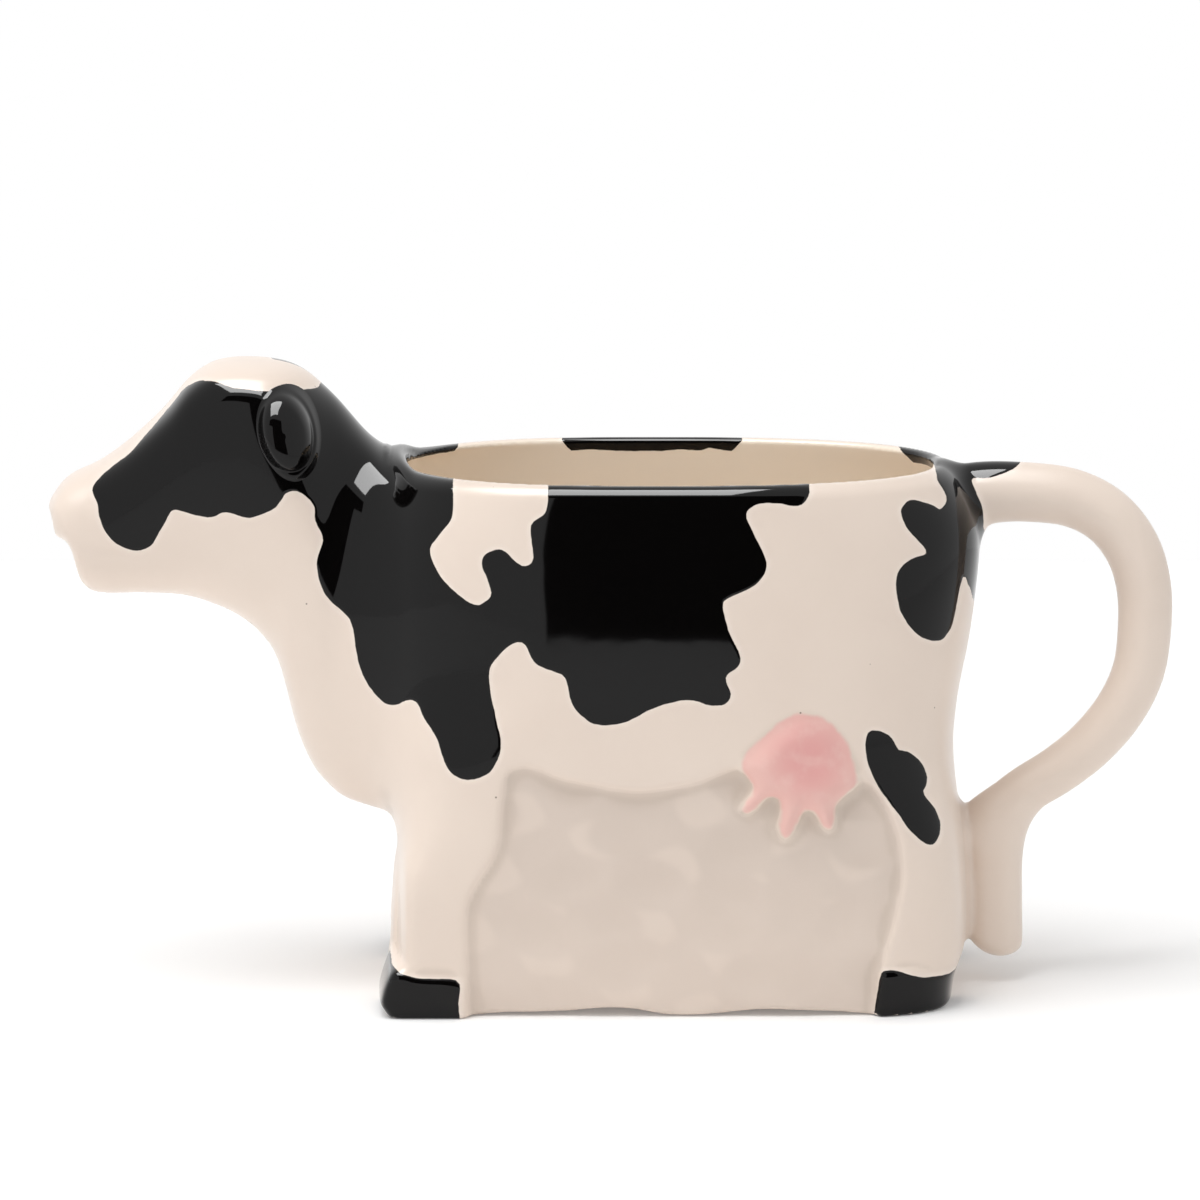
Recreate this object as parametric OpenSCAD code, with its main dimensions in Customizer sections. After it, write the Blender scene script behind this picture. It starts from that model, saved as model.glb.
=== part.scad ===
// Cow creamer: an open oval milk vessel with a hollow head as its spout and the tail as its handle.
// All sizes are in millimetres. X runs from head to tail, Z is up, the cow's left flank faces -Y.

/* [Vessel] */
// length from the neck seat back to the fullest point of the rump
body_len = 105.5; // [90:0.5:120]
// width across the belly at its fullest
belly_w = 68; // [60:0.5:78]
// width across the rim
rim_w = 62; // [54:0.5:70]
// width across the legs at the table
foot_w = 63; // [54:0.5:70]
// height of the rim along the flanks
rim_h = 95; // [85:0.5:105]
// extra height of the rim where it runs up into the neck
rim_rise = 1.8; // [0.5:0.1:3]
// length of that run behind the neck seat
rise_len = 5; // [3:0.1:10]
// height of the fullest part of the belly
belly_h = 58; // [50:0.5:66]
// distance from the neck seat back to the fullest part of the belly
belly_back = 50; // [42:0.5:58]
// thickness of the cast wall
wall = 4; // [3:0.1:5]
// thickness of the floor
floor_t = 5; // [4:0.1:8]
// rounding between the inner wall and the floor
floor_round = 7; // [4:0.1:10]
// depth of the hollow under the foot
foot_recess = 1.5; // [0.8:0.1:3]
// width of the ring that stands on the table
foot_ring = 7; // [5:0.1:10]
// rounding of the outer edge of the foot
foot_edge = 0.8; // [0.4:0.1:1.5]
// height of the fullest point of the rump
rump_h = 81; // [74:0.5:86]
// height of the narrowest point of the hind wall, at the hocks
hock_h = 43; // [38:0.5:48]
// how far the hind wall draws in at the hocks
hock_tuck = 4.9; // [2:0.1:6]
// how far the hind wall stands in above the hooves
heel_tuck = 2; // [0.5:0.1:4]
// how far the hind hooves draw in below that at the table
heel_cut = 2.4; // [1:0.1:4]
// how far the rim stands in from the rump
rim_tuck = 5; // [3:0.1:7]

/* [Legs and ground] */
// depth of the ground below the legs and the belly
ground_depth = 1.8; // [1:0.1:2.4]
// width of the sloped edge of the relief
relief_edge = 1.8; // [1:0.1:3]
// height of the belly line at the legs
belly_line_h = 45.3; // [42:0.1:50]
// sag of the belly line between the legs
belly_sag = 4; // [2:0.1:6]
// width of a fore leg below the knee
fore_leg_w = 14; // [11:0.1:17]
// width of a fore leg at the belly
fore_arm_w = 20.6; // [18:0.1:24]
// width of a hind leg below the hock
hind_leg_w = 17; // [14:0.1:20]
// narrowing of a hind leg at its middle
hind_waist = 2.6; // [0:0.1:4]
// width of a hind leg at the belly
thigh_w = 22; // [18:0.1:26]
// width of the flat breast panel between the fore legs
breast_w = 28; // [20:0.5:34]
// height over which that panel runs out into the neck
breast_fade = 9; // [6:0.5:12]
// how far the knees draw in behind the neck seat
knee_tuck = 1; // [0.2:0.1:2]
// height of the hooves
hoof_h = 8; // [6:0.1:10]
// how far the hooves stand out from the flanks of the legs
hoof_flare = 1.5; // [0.5:0.1:2]
// how far the fore hooves stand out ahead of the neck seat
toe_out = 2.2; // [1:0.1:3]

/* [Neck and head] */
// distance from the neck seat forward to the muzzle tip
head_reach = 61.2; // [54:0.2:68]
// width of the neck where it meets the vessel
chest_w = 44; // [38:0.5:50]
// height of the fullest part of the chest at the seat
chest_h = 60; // [54:0.5:66]
// height of the underside of the brisket at the seat
brisket_h = 31.5; // [29:0.1:34]
// width of the head across the cheeks
head_w = 35.5; // [32:0.5:40]
// width of the muzzle
muzzle_w = 24.5; // [21:0.5:28]
// distance from the neck seat forward to the crown of the head
poll_reach = 24; // [21:0.2:27]
// height of the crown of the head
poll_h = 114; // [108:0.5:120]
// height of the underside of the jaw
chin_h = 71.4; // [69:0.2:74]
// height of the muzzle tip above the underside of the jaw
muzzle_rise = 15.6; // [13:0.2:18]
// distance from the neck seat forward to the throat
throat_reach = 20.6; // [18:0.2:23]
// height of the throat
throat_h = 59; // [55:0.5:62]
// diameter of the pouring hole in the mouth
mouth_d = 7.6; // [6:0.1:9]
// height of the pouring hole above the underside of the jaw
mouth_rise = 9.2; // [8:0.1:11]

/* [Ears] */
// length of an ear
ear_len = 14.4; // [12:0.2:17]
// width of an ear
ear_w = 10.2; // [8:0.2:12]
// how far an ear stands out from the head
ear_out = 4.6; // [3:0.1:6]
// diameter of the rolled edge of an ear
ear_roll = 2.4; // [1.6:0.1:3]
// depth to which an ear is shaped before it is fitted to the slope of the head
ear_bed = 6; // [5:0.1:8]
// distance from the neck seat forward to the ears
ear_reach = 17.8; // [15:0.2:20]
// distance of the ears below the crown of the head
ear_drop = 12; // [10:0.2:16]
// lean of the ears, in degrees
ear_lean = 14; // [0:1:25]

/* [Tail] */
// distance from the rump back to the outside of the handle
handle_reach = 35; // [28:0.5:42]
// diameter of the tail at its root
tail_root_d = 11.2; // [9.5:0.1:12.5]
// swelling of the tail where it is bedded on the rump
root_flare = 1.2; // [0:0.1:2]
// diameter of the tail at the tuft
tail_tip_d = 9; // [7.5:0.1:10.5]
// distance of the root of the tail below the rim
tail_drop = 5.6; // [5:0.1:9]
// height of the outermost point of the handle
bend_h = 64.5; // [60:0.5:70]
// height of the joint between tail and tuft
tuft_joint_h = 35.2; // [33:0.2:39]
// length of the tuft below that joint
tuft_len = 31.4; // [28:0.2:33]
// width of the tuft across the cow
tuft_w = 11; // [9:0.1:13]
// how far the tuft stands out from the hind wall
tuft_out = 11; // [9:0.1:12.5]
// depth to which the tuft is shaped before it is fitted to the hind wall
tuft_bed = 2; // [1.5:0.1:3]

/* [Udder] */
// width of the udder along the flank
udder_w = 19.6; // [16:0.2:23]
// height of the udder without its teats
udder_len = 13; // [11:0.2:15]
// how far the udder stands out from the flank
udder_out = 2; // [1.4:0.1:2.6]
// depth to which the udder is shaped before it is fitted to the flank
udder_bed = 4; // [3:0.1:6]
// distance from the neck seat back to the middle of the udder
udder_back = 72.6; // [68:0.2:77]
// distance of the middle of the udder above the belly line
udder_lift = 2.7; // [0:0.1:6]
// diameter of a teat
teat_d = 4.2; // [3.4:0.1:5]
// length of a teat
teat_len = 7; // [5:0.1:9]

/* [Hidden] */

// The muzzle tip and the back of the handle stand equally far from the origin.
seat_x = (head_reach - body_len - handle_reach) / 2;
rump_x = seat_x + body_len;
belly_x = seat_x + belly_back;
neck_top = rim_h + rim_rise;
muzzle_h = chin_h + muzzle_rise;
mouth_h = chin_h + mouth_rise;
ear_h = poll_h - ear_drop;
tail_h = rim_h - tail_drop;
udder_h = belly_line_h + udder_lift;
floor_h = foot_recess + floor_t;

glaze_white = "#f3e9df";
glaze_black = "#1d1c1b";
glaze_pink = "#e9aaa4";

// Smooth curve through a short list of [position, value] pairs.
function find_span(p, s, i = 0) =
    (i >= len(p) - 2 || s <= p[i + 1][0]) ? i : find_span(p, s, i + 1);
function span_slope(p, i) =
    let (a = max(i - 1, 0), b = min(i + 1, len(p) - 1))
    (p[b][1] - p[a][1]) / (p[b][0] - p[a][0]);
function span_value(p, i, t) =
    let (w = p[i + 1][0] - p[i][0], t2 = t * t, t3 = t * t * t)
    (2 * t3 - 3 * t2 + 1) * p[i][1] + (t3 - 2 * t2 + t) * w * span_slope(p, i)
    + (3 * t2 - 2 * t3) * p[i + 1][1] + (t3 - t2) * w * span_slope(p, i + 1);
function curve(p, s) =
    let (q = min(max(s, p[0][0]), p[len(p) - 1][0]), i = find_span(p, q))
    span_value(p, i, (q - p[i][0]) / (p[i + 1][0] - p[i][0]));
function clamp01(t) = min(max(t, 0), 1);
function ease(t) =
    let (c = clamp01(t))
    c * c * (3 - 2 * c);
function mix(a, b, t) = a + (b - a) * t;
function signed_pow(v, e) = sign(v) * pow(abs(v), e);

// Closed skin over a row of rings that all have the same number of points.
function middle(ring) =
    [for (a = [0:2]) let (v = [for (p = ring) p[a]]) mix(min(v), max(v), 0.5)];
module skin(rings) {
    n = len(rings[0]);
    m = len(rings);
    points = concat([for (r = rings) for (p = r) p], [middle(rings[0]), middle(rings[m - 1])]);
    sides = [for (k = [0:m - 2]) for (j = [0:n - 1])
        let (a = k * n + j, b = k * n + (j + 1) % n)
        each [[a, a + n, b + n], [a, b + n, b]]];
    first = [for (j = [0:n - 1]) [m * n, j, (j + 1) % n]];
    last = [for (j = [0:n - 1]) [(m - 1) * n + j, m * n + 1, (m - 1) * n + (j + 1) % n]];
    polyhedron(points = points, faces = concat(first, sides, last), convexity = 10);
}

// Lines of the head and neck, by distance ahead of the neck seat: crest, underside, half width
// and height of the fullest point. Each point is a share of the way between named places.
function on_neck(t, lift) = [poll_reach * t, mix(neck_top, poll_h, lift)];
function on_face(t, drop) = [mix(poll_reach, head_reach, t), mix(poll_h, muzzle_h, drop)];
top_line = [
    on_neck(0, 0), on_neck(0.17, 0.2), on_neck(0.43, 0.62), on_neck(0.7, 0.92), on_neck(1, 1),
    on_face(0.2, 0.02), on_face(0.33, 0.16), on_face(0.44, 0.35), on_face(0.62, 0.58),
    on_face(0.76, 0.715), on_face(0.9, 0.805), on_face(0.96, 0.88), on_face(1, 0.97)];
function on_chest(t, lift) = [throat_reach * t, mix(brisket_h, throat_h, lift)];
function on_throat(t, lift) = [mix(throat_reach, head_reach, t), mix(throat_h, chin_h, lift)];
function on_lip(t, lift) = [mix(throat_reach, head_reach, t), mix(chin_h, muzzle_h, lift)];
low_line = [
    on_chest(0, 0), on_chest(0.41, 0.09), on_chest(0.55, 0.17), on_chest(0.69, 0.31),
    on_chest(0.82, 0.56), on_chest(0.97, 1), on_throat(0.06, 0.37), on_throat(0.14, 0.61),
    on_throat(0.24, 0.79), on_throat(0.4, 0.96), on_lip(0.6, 0), on_lip(0.78, 0.01),
    on_lip(0.84, 0.07), on_lip(0.878, 0.27), on_lip(0.905, 0.52), on_lip(0.935, 0.61),
    on_lip(0.975, 0.71), on_lip(1, 0.94)];
function neck_half(t, share) = [poll_reach * t, mix(chest_w, head_w, share) / 2];
function face_half(t, share) = [mix(poll_reach, head_reach, t), mix(head_w, muzzle_w, share) / 2];
function nose_half(t, share) = [mix(poll_reach, head_reach, t), muzzle_w / 2 * share];
half_line = [
    neck_half(0, 0), neck_half(0.22, 0.56), neck_half(0.46, 0.92), neck_half(0.85, 1),
    face_half(0.12, 0), face_half(0.29, 0.2), face_half(0.45, 0.58), face_half(0.62, 0.88),
    nose_half(0.78, 1), nose_half(0.89, 0.95), nose_half(0.945, 0.8), nose_half(0.975, 0.58),
    nose_half(1, 0.16)];
cheek_h = mix(chin_h, poll_h, 0.46);
function neck_mid(t, share) = [poll_reach * t, mix(chest_h, cheek_h, share)];
function face_mid(t, share) = [mix(poll_reach, head_reach, t), mix(cheek_h, muzzle_h, share)];
function nose_mid(t, share) = [mix(poll_reach, head_reach, t), mix(chin_h, muzzle_h, share)];
mid_line = [
    neck_mid(0, 0), neck_mid(0.22, 0.06), neck_mid(0.44, 0.23), neck_mid(0.65, 0.47),
    neck_mid(0.86, 0.76), neck_mid(1.08, 0.95), face_mid(0.2, 0), face_mid(0.43, 0.6),
    nose_mid(0.7, 0.81), nose_mid(0.86, 0.8), nose_mid(0.95, 0.95), nose_mid(1, 1)];
crest_power = [[0, 3], [poll_reach * 0.33, 2.4], [poll_reach * 0.66, 2.2], [head_reach, 2.2]];
jaw_power = 2.3;

// One upright section of the head and neck; inset is the wall that is taken off for the hollow.
head_n = 40;
function head_section(d, inset) =
    let (top = curve(top_line, d) - inset,
        low = curve(low_line, d) + inset,
        half = curve(half_line, d) - inset,
        mid = min(max(curve(mid_line, d), mix(low, top, 0.1)), mix(low, top, 0.9)),
        up = 2 / curve(crest_power, d),
        down = 2 / jaw_power)
    [for (j = [0:head_n - 1])
        let (c = cos(360 * j / head_n), s = sin(360 * j / head_n))
        [seat_x - d,
            half * signed_pow(c, s > 0 ? up : down),
            mid + (s > 0 ? (top - mid) * signed_pow(s, up) : (mid - low) * signed_pow(s, down))]];
function head_half(d, z) =
    let (mid = curve(mid_line, d),
        reach = z > mid ? curve(top_line, d) - mid : mid - curve(low_line, d),
        p = z > mid ? curve(crest_power, d) : jaw_power,
        u = min(abs(z - mid) / reach, 1))
    curve(half_line, d) * pow(1 - pow(u, p), 1 / p);
head_shares = [
    0.999, 0.992, 0.982, 0.971, 0.957, 0.943, 0.927, 0.908, 0.885, 0.855, 0.815, 0.77, 0.72, 0.67,
    0.62, 0.57, 0.52, 0.47, 0.42, 0.375, 0.335, 0.295, 0.255, 0.215, 0.175, 0.135, 0.09, 0.045, 0];
hollow_end = head_reach - 1.5 * wall;
hollow_shares = [0, 0.09, 0.18, 0.26, 0.34, 0.42, 0.5, 0.58, 0.66, 0.74, 0.82, 0.9, 0.96, 1];
function head_outside() = [for (f = head_shares) head_section(f * head_reach, 0)];
function head_inside() = [for (f = hollow_shares) head_section(f * hollow_end, wall)];

module head_solid() {
    skin(head_outside());
}

module head_spout() {
    color(glaze_white)
        difference() {
            skin(concat(head_outside(), head_inside()));
            translate([seat_x - head_reach - wall, 0, mouth_h])
                rotate([0, 90, 0])
                    cylinder(d = mouth_d, h = 4 * wall, $fn = 48);
        }
}

// Levels of the vessel, by height: half width, hind wall, front wall and how square the plan is.
function level_half(z) =
    z > belly_h
        ? mix(belly_w, rim_w, pow((z - belly_h) / (rim_h - belly_h), 2)) / 2
        : mix(belly_w, foot_w, pow((belly_h - z) / belly_h, 2)) / 2;
rear_line = [
    [0, -heel_tuck - heel_cut], [hoof_h * 0.6, -heel_tuck - heel_cut * 0.7],
    [hoof_h * 1.2, -heel_tuck], [hock_h * 0.6, -heel_tuck - hock_tuck * 0.1], [hock_h, -hock_tuck],
    [mix(hock_h, rump_h, 0.25), -hock_tuck * 0.86], [mix(hock_h, rump_h, 0.6), -hock_tuck * 0.3],
    [rump_h, 0], [mix(rump_h, rim_h, 0.5), -rim_tuck * 0.24], [rim_h, -rim_tuck]];
function rear_x(z) = rump_x + curve(rear_line, z);
front_line = [
    [0, -toe_out], [hoof_h * 0.5, -toe_out * 0.86], [hoof_h, -toe_out * 0.27], [hoof_h * 1.5, 0],
    [brisket_h * 0.6, knee_tuck * 0.4], [brisket_h * 0.85, knee_tuck], [brisket_h, 0]];
function front_x(z) = z < brisket_h ? seat_x + curve(front_line, z) : seat_x;
function front_half(z) =
    let (panel = breast_w / 2 * (1 - ease((z - brisket_h) / breast_fade)))
    z <= brisket_h ? panel : max(panel, head_half(0, min(z, neck_top)));
rear_power = [[0, 5], [brisket_h, 4.4], [belly_line_h, 3.2], [belly_h, 2.8], [rim_h, 2.4]];
fore_power = [[0, 13], [brisket_h * 0.8, 11], [belly_line_h, 3.2], [belly_h, 2.2], [rim_h, 3.4]];
fore_root = [[0, 2.2], [brisket_h * 0.8, 2.1], [belly_line_h, 1.3], [belly_h, 1.05], [rim_h, 1.15]];
function shoulder_half(x, z) =
    let (s = clamp01((x - front_x(z)) / (belly_x - front_x(z))))
    mix(front_half(z), level_half(z),
        pow(1 - pow(1 - s, curve(fore_power, z)), 1 / curve(fore_root, z)));
function rump_half(x, z) =
    let (s = clamp01((x - belly_x) / (rear_x(z) - belly_x)), p = curve(rear_power, z))
    level_half(z) * pow(1 - pow(s, p), 1 / p);
function plain_half(x, z) = x < belly_x ? shoulder_half(x, z) : rump_half(x, z);

// Legs, hooves and belly stand out from the ground, which is sunk between them.
fore_edge = [
    [0, fore_leg_w], [hoof_h * 2.4, fore_leg_w * 1.01],
    [brisket_h * 0.88, mix(fore_leg_w, fore_arm_w, 0.6)], [brisket_h * 1.2, fore_arm_w * 0.985],
    [belly_line_h, fore_arm_w]];
hind_edge = [
    [0, hind_leg_w * 1.03], [hoof_h, hind_leg_w], [hoof_h * 3, hind_leg_w - hind_waist],
    [brisket_h, hind_leg_w - hind_waist * 0.7], [belly_line_h * 0.91, mix(hind_leg_w, thigh_w, 0.5)],
    [belly_line_h, thigh_w]];
function fore_edge_x(z) = seat_x + curve(fore_edge, z);
function hind_edge_x(z) = rump_x - curve(hind_edge, z);
function belly_line(x) =
    let (a = fore_edge_x(belly_line_h), b = hind_edge_x(belly_line_h),
        u = (x - mix(a, b, 0.4)) / (b - a) * 3.3)
    belly_line_h - belly_sag * max(1 - u * u, 0);
function ground_share(x, z) =
    ease((x - fore_edge_x(z)) / relief_edge)
    * ease((hind_edge_x(z) - x) / relief_edge)
    * ease((belly_line(x) - z) / relief_edge + 0.5);
function on_leg(x, z) =
    x < fore_edge_x(z) + relief_edge / 2 || x > hind_edge_x(z) - relief_edge / 2;
function hoof_share(x, z) = on_leg(x, z) ? ease((hoof_h - z) / relief_edge + 0.5) : 0;
function side_half(x, z) = plain_half(x, z) - ground_depth * ground_share(x, z);

// Stations along one flank follow the edges of the legs.
fore_n = 9;
flank_n = 10;
hind_n = 11;
side_n = fore_n + flank_n + hind_n + 2;
function station(i, z) =
    let (a = fore_edge_x(z), b = hind_edge_x(z), k = i - fore_n - 1)
    i <= fore_n ? mix(front_x(z), a, pow(i / fore_n, 2))
        : k <= flank_n ? mix(a + relief_edge, b - relief_edge, k / flank_n)
        : mix(rear_x(z), b, pow(1 - (k - flank_n - 1) / hind_n, 2));
function rise(x, z) =
    rim_rise * ease(1 - (x - seat_x) / rise_len)
    * pow(clamp01((z - belly_h) / (rim_h - belly_h)), 2);

// One level ring of the vessel, drawn in by inset; the outer ring carries the relief.
function ring_half(i, x, z, outer) =
    outer ? side_half(x, z) + hoof_flare * hoof_share(x, z) * min(1, (side_n - i) / 2)
        : plain_half(x, z);
function vessel_ring(z, inset, outer) =
    let (a = front_x(z),
        b = rear_x(z),
        mid = mix(a, b, 0.5),
        g = 1 - 2 * inset / (b - a),
        k = 1 - inset / level_half(z),
        side = [for (i = [0:side_n])
            let (x = station(i, z))
            [mid + (x - mid) * g, ring_half(i, x, z, outer) * k, z + rise(x, z)]])
    concat([for (p = side) [p[0], -p[1], p[2]]], [for (i = [side_n - 1:-1:0]) side[i]]);
function rim_ring(turn) =
    let (r = wall / 2,
        t = (1 - cos(turn)) / 2,
        o = vessel_ring(rim_h - r, 0, true),
        n = vessel_ring(rim_h - r, wall, false))
    [for (j = [0:len(o) - 1])
        let (round = turn < 90 ? ease((o[j][0] - seat_x) / (2 * wall)) : 1, p = mix(o[j], n[j], t))
        [p[0], p[1], p[2] + r - r * (1 - sin(turn)) * round]];
outer_levels = concat(
    [foot_edge * 0.75, foot_edge * 2.5, hoof_h * 0.55, hoof_h * 0.92, hoof_h * 1.08],
    [for (f = [0.38, 0.51, 0.64, 0.77, 0.89, 1]) f * brisket_h],
    [for (f = [0.2, 0.4, 0.58, 0.72, 0.86, 1, 1.14]) mix(brisket_h, belly_line_h, f)],
    [for (f = [0.12, 0.27, 0.42, 0.57, 0.71, 0.84, 0.93]) mix(belly_line_h, rim_h, f)]);
inner_levels = [for (f = [0.96, 0.86, 0.72, 0.58, 0.46, 0.34, 0.23, 0.13]) mix(floor_h, rim_h, f)];
floor_turns = [0, 25, 50, 70, 90];
function foot_rings() = [
    vessel_ring(foot_recess, foot_ring + foot_recess, false),
    vessel_ring(0, foot_ring, false),
    vessel_ring(0, foot_edge, true)];
function outer_rings() = [for (z = outer_levels) vessel_ring(z, 0, true)];
function inner_rings() = concat(
    [for (z = inner_levels) vessel_ring(z, wall, false)],
    [for (t = floor_turns)
        vessel_ring(floor_h + floor_round * (1 - sin(t)), wall + floor_round * (1 - cos(t)), false)]);

module vessel_solid() {
    skin(concat(
        [vessel_ring(0, foot_edge, true)], outer_rings(), [for (t = [0, 45, 90]) rim_ring(t)]));
}

module body_vessel() {
    color(glaze_white)
        difference() {
            skin(concat(
                foot_rings(), outer_rings(), [for (t = [0, 45, 90, 135, 180]) rim_ring(t)], inner_rings()));
            neck_window();
        }
}

// The hollow of the neck runs on through the front wall of the vessel.
module neck_window() {
    translate([seat_x - wall / 2, 0, 0])
        rotate([90, 0, 90])
            linear_extrude(height = 2 * wall)
                polygon([for (p = head_section(0, wall)) [p[1], p[2]]]);
}

// Ears: domed ovals with a rolled edge, pressed against the slope of the head.
ear_y = head_half(ear_reach, ear_h);
module ear_dome(depth, out, edge) {
    translate([0, depth, 0])
        scale([ear_w / 2 - edge, out, ear_len / 2 - edge])
            sphere(r = 1, $fn = 24);
}

module ear_bead(turn, depth, length) {
    translate([(ear_w - ear_roll) / 2 * cos(turn), depth, (ear_len - ear_roll) / 2 * sin(turn)])
        rotate([90, 0, 0])
            cylinder(d = ear_roll, h = length, $fn = 14);
}

module ear_blank() {
    translate([seat_x - ear_reach, -ear_y, ear_h])
        rotate([0, ear_lean, 0]) {
            hull() {
                ear_dome(0, ear_out, ear_roll / 2);
                ear_dome(ear_bed, ear_out / 4, ear_roll);
            }
            for (a = [0:20:340])
                hull() {
                    for (b = [a, a + 20]) {
                        ear_bead(b, 0, ear_out * 0.55);
                        ear_bead(b, ear_bed, ear_out / 4);
                    }
                }
        }
}

module left_ear() {
    color(glaze_black)
        difference() {
            ear_blank();
            head_solid();
        }
}

module right_ear() {
    color(glaze_black)
        difference() {
            mirror([0, 1, 0])
                ear_blank();
            head_solid();
        }
}

// Tail: a tapered round handle from the rump down to the tuft.
tail_n = 18;
bend_r = mix(tail_root_d, tail_tip_d, 0.58) / 2;
bend_x = rump_x + handle_reach - bend_r;
function tail_up(out, lift) = [mix(rump_x, bend_x, out), mix(bend_h, tail_h, lift)];
function tail_down(out, lift) = [mix(rump_x, bend_x, out), mix(tuft_joint_h, bend_h, lift)];
tail_path = [
    [rump_x - rim_tuck - wall / 2, tail_h - root_flare], tail_up(0, 1), tail_up(0.28, 1),
    tail_up(0.55, 0.957), tail_up(0.77, 0.82), tail_up(0.925, 0.587), tail_up(0.993, 0.31),
    tail_up(1, 0), tail_down(0.966, 0.735), tail_down(0.86, 0.497), tail_down(0.69, 0.29),
    tail_down(0.488, 0.13), tail_down(0.282, 0)];
tail_end = len(tail_path) - 1;
tail_x = [for (i = [0:tail_end]) [i, tail_path[i][0]]];
tail_z = [for (i = [0:tail_end]) [i, tail_path[i][1]]];
function tail_at(t) = [curve(tail_x, t), curve(tail_z, t)];
function tail_dir(t) =
    let (v = tail_at(t + 0.05) - tail_at(t - 0.05))
    v / norm(v);
function oval_ring(at, dir, half_in, half_y) =
    [for (j = [0:tail_n - 1])
        let (c = cos(360 * j / tail_n), s = sin(360 * j / tail_n))
        [at[0] - dir[1] * half_in * s, half_y * c, at[1] + dir[0] * half_in * s]];
function tail_ring(t) =
    let (f = root_flare * pow(max(1 - t / 2, 0), 2),
        r = mix(tail_root_d, tail_tip_d, t / tail_end) / 2 + f)
    oval_ring(tail_at(t) - [0, f], tail_dir(t), r, r);

module tail_handle() {
    color(glaze_white)
        difference() {
            skin([for (t = [0:0.5:tail_end]) tail_ring(t)]);
            vessel_solid();
        }
}

// Tuft: starts at the end of the tail, swells into a brush and is bedded against the hind wall.
tuft_x = rump_x - heel_tuck + (tuft_out - tuft_bed) / 2;
tuft_in = (tuft_out + tuft_bed) / 2;
// share of the length, place between brush and tail, turn towards the tail, depth and width
tuft_steps = [
    [0.11, 0.7, 0.72, 0.86, 0.9], [0.24, 0.25, 0.4, 0.95, 0.92], [0.4, 0.04, 0.15, 1, 0.96],
    [0.58, 0, 0, 1, 1], [0.75, 0.03, 0, 0.97, 1], [0.88, 0.12, 0, 0.85, 0.9],
    [0.96, 0.2, 0, 0.6, 0.64], [1, 0.25, 0, 0.3, 0.3]];
function tuft_ring(s) =
    let (a = tail_dir(tail_end), v = [a[0] * s[2], a[1] - (1 - s[2]) * 0.6])
    oval_ring([mix(tuft_x, tail_at(tail_end)[0], s[1]), tuft_joint_h - tuft_len * s[0]],
        v / norm(v), tuft_in * s[3], tuft_w / 2 * s[4]);

module tail_tuft() {
    color(glaze_white)
        difference() {
            skin(concat([tail_ring(tail_end)], [for (s = tuft_steps) tuft_ring(s)]));
            vessel_solid();
        }
}

// Udder: a low swelling with three teats, pressed on the flank.
udder_x = seat_x + udder_back;
udder_y = plain_half(udder_x, udder_h);
module udder_swell(dx, dz, wide, high, depth, out) {
    translate([udder_x + udder_w * dx, -udder_y + depth, udder_h + udder_len * dz])
        scale([udder_w / 2 * wide, out, udder_len / 2 * high])
            sphere(r = 1, $fn = 20);
}

module teat_bead(down, depth, share) {
    translate([0, teat_d * depth, -teat_len * down])
        sphere(d = teat_d * share, $fn = 14);
}

module teat(dx, lean) {
    translate([udder_x + udder_w * dx, -udder_y, udder_h - udder_len * 0.36])
        rotate([0, lean, 0]) {
            hull() {
                teat_bead(0, 0.07, 1.5);
                teat_bead(0.55, 0.19, 1);
            }
            hull() {
                teat_bead(0.55, 0.19, 1);
                teat_bead(1, 0.19, 0.84);
            }
        }
}

module udder_blank() {
    for (k = [[-0.16, -0.1, 0.68, 0.8], [0.16, -0.1, 0.68, 0.8], [0, 0.08, 0.9, 0.84]])
        hull() {
            udder_swell(k[0], k[1], k[2], k[3], 0, udder_out);
            udder_swell(k[0], k[1], k[2], k[3], udder_bed, udder_out / 2);
        }
    teat(-0.34, 18);
    teat(-0.1, 8);
    teat(0.24, -4);
}

module left_udder() {
    color(glaze_pink)
        difference() {
            udder_blank();
            vessel_solid();
        }
}

module right_udder() {
    color(glaze_pink)
        difference() {
            mirror([0, 1, 0])
                udder_blank();
            vessel_solid();
        }
}

body_vessel();
head_spout();
left_ear();
right_ear();
tail_handle();
tail_tuft();
left_udder();
right_udder();
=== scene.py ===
import math
import bmesh
import bpy
import numpy as np
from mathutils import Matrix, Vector


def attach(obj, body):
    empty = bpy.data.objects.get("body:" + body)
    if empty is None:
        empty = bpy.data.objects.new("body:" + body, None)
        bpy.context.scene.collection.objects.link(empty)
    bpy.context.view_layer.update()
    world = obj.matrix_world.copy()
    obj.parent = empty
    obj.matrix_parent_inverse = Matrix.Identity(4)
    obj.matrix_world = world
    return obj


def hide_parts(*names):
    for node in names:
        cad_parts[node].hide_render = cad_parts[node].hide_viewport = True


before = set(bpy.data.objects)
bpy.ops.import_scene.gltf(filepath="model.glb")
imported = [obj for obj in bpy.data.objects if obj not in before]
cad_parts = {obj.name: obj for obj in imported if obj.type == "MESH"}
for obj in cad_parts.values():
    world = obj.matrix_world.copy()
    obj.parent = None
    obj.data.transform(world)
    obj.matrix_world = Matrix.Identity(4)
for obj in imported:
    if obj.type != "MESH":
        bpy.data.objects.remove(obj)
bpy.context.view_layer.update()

# The camera stands level with a seated eye, 1.2 m from the jug and 10 degrees above it, square to
# the cow's left flank. One pixel of the 1200 pixel frame covers 0.18 mm at the jug.
MM = 0.001
VIEW_LIFT = math.radians(10)
VIEW_DISTANCE = 1200.0
VIEW_CENTRE = np.array([-2.16, 0.0, 69.7])
FRAME_PIXELS = 1200
PIXEL_SIZE = 0.18
SENSOR_W = 36.0
VIEW_AHEAD = np.array([0, math.cos(VIEW_LIFT), -math.sin(VIEW_LIFT)])
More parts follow.
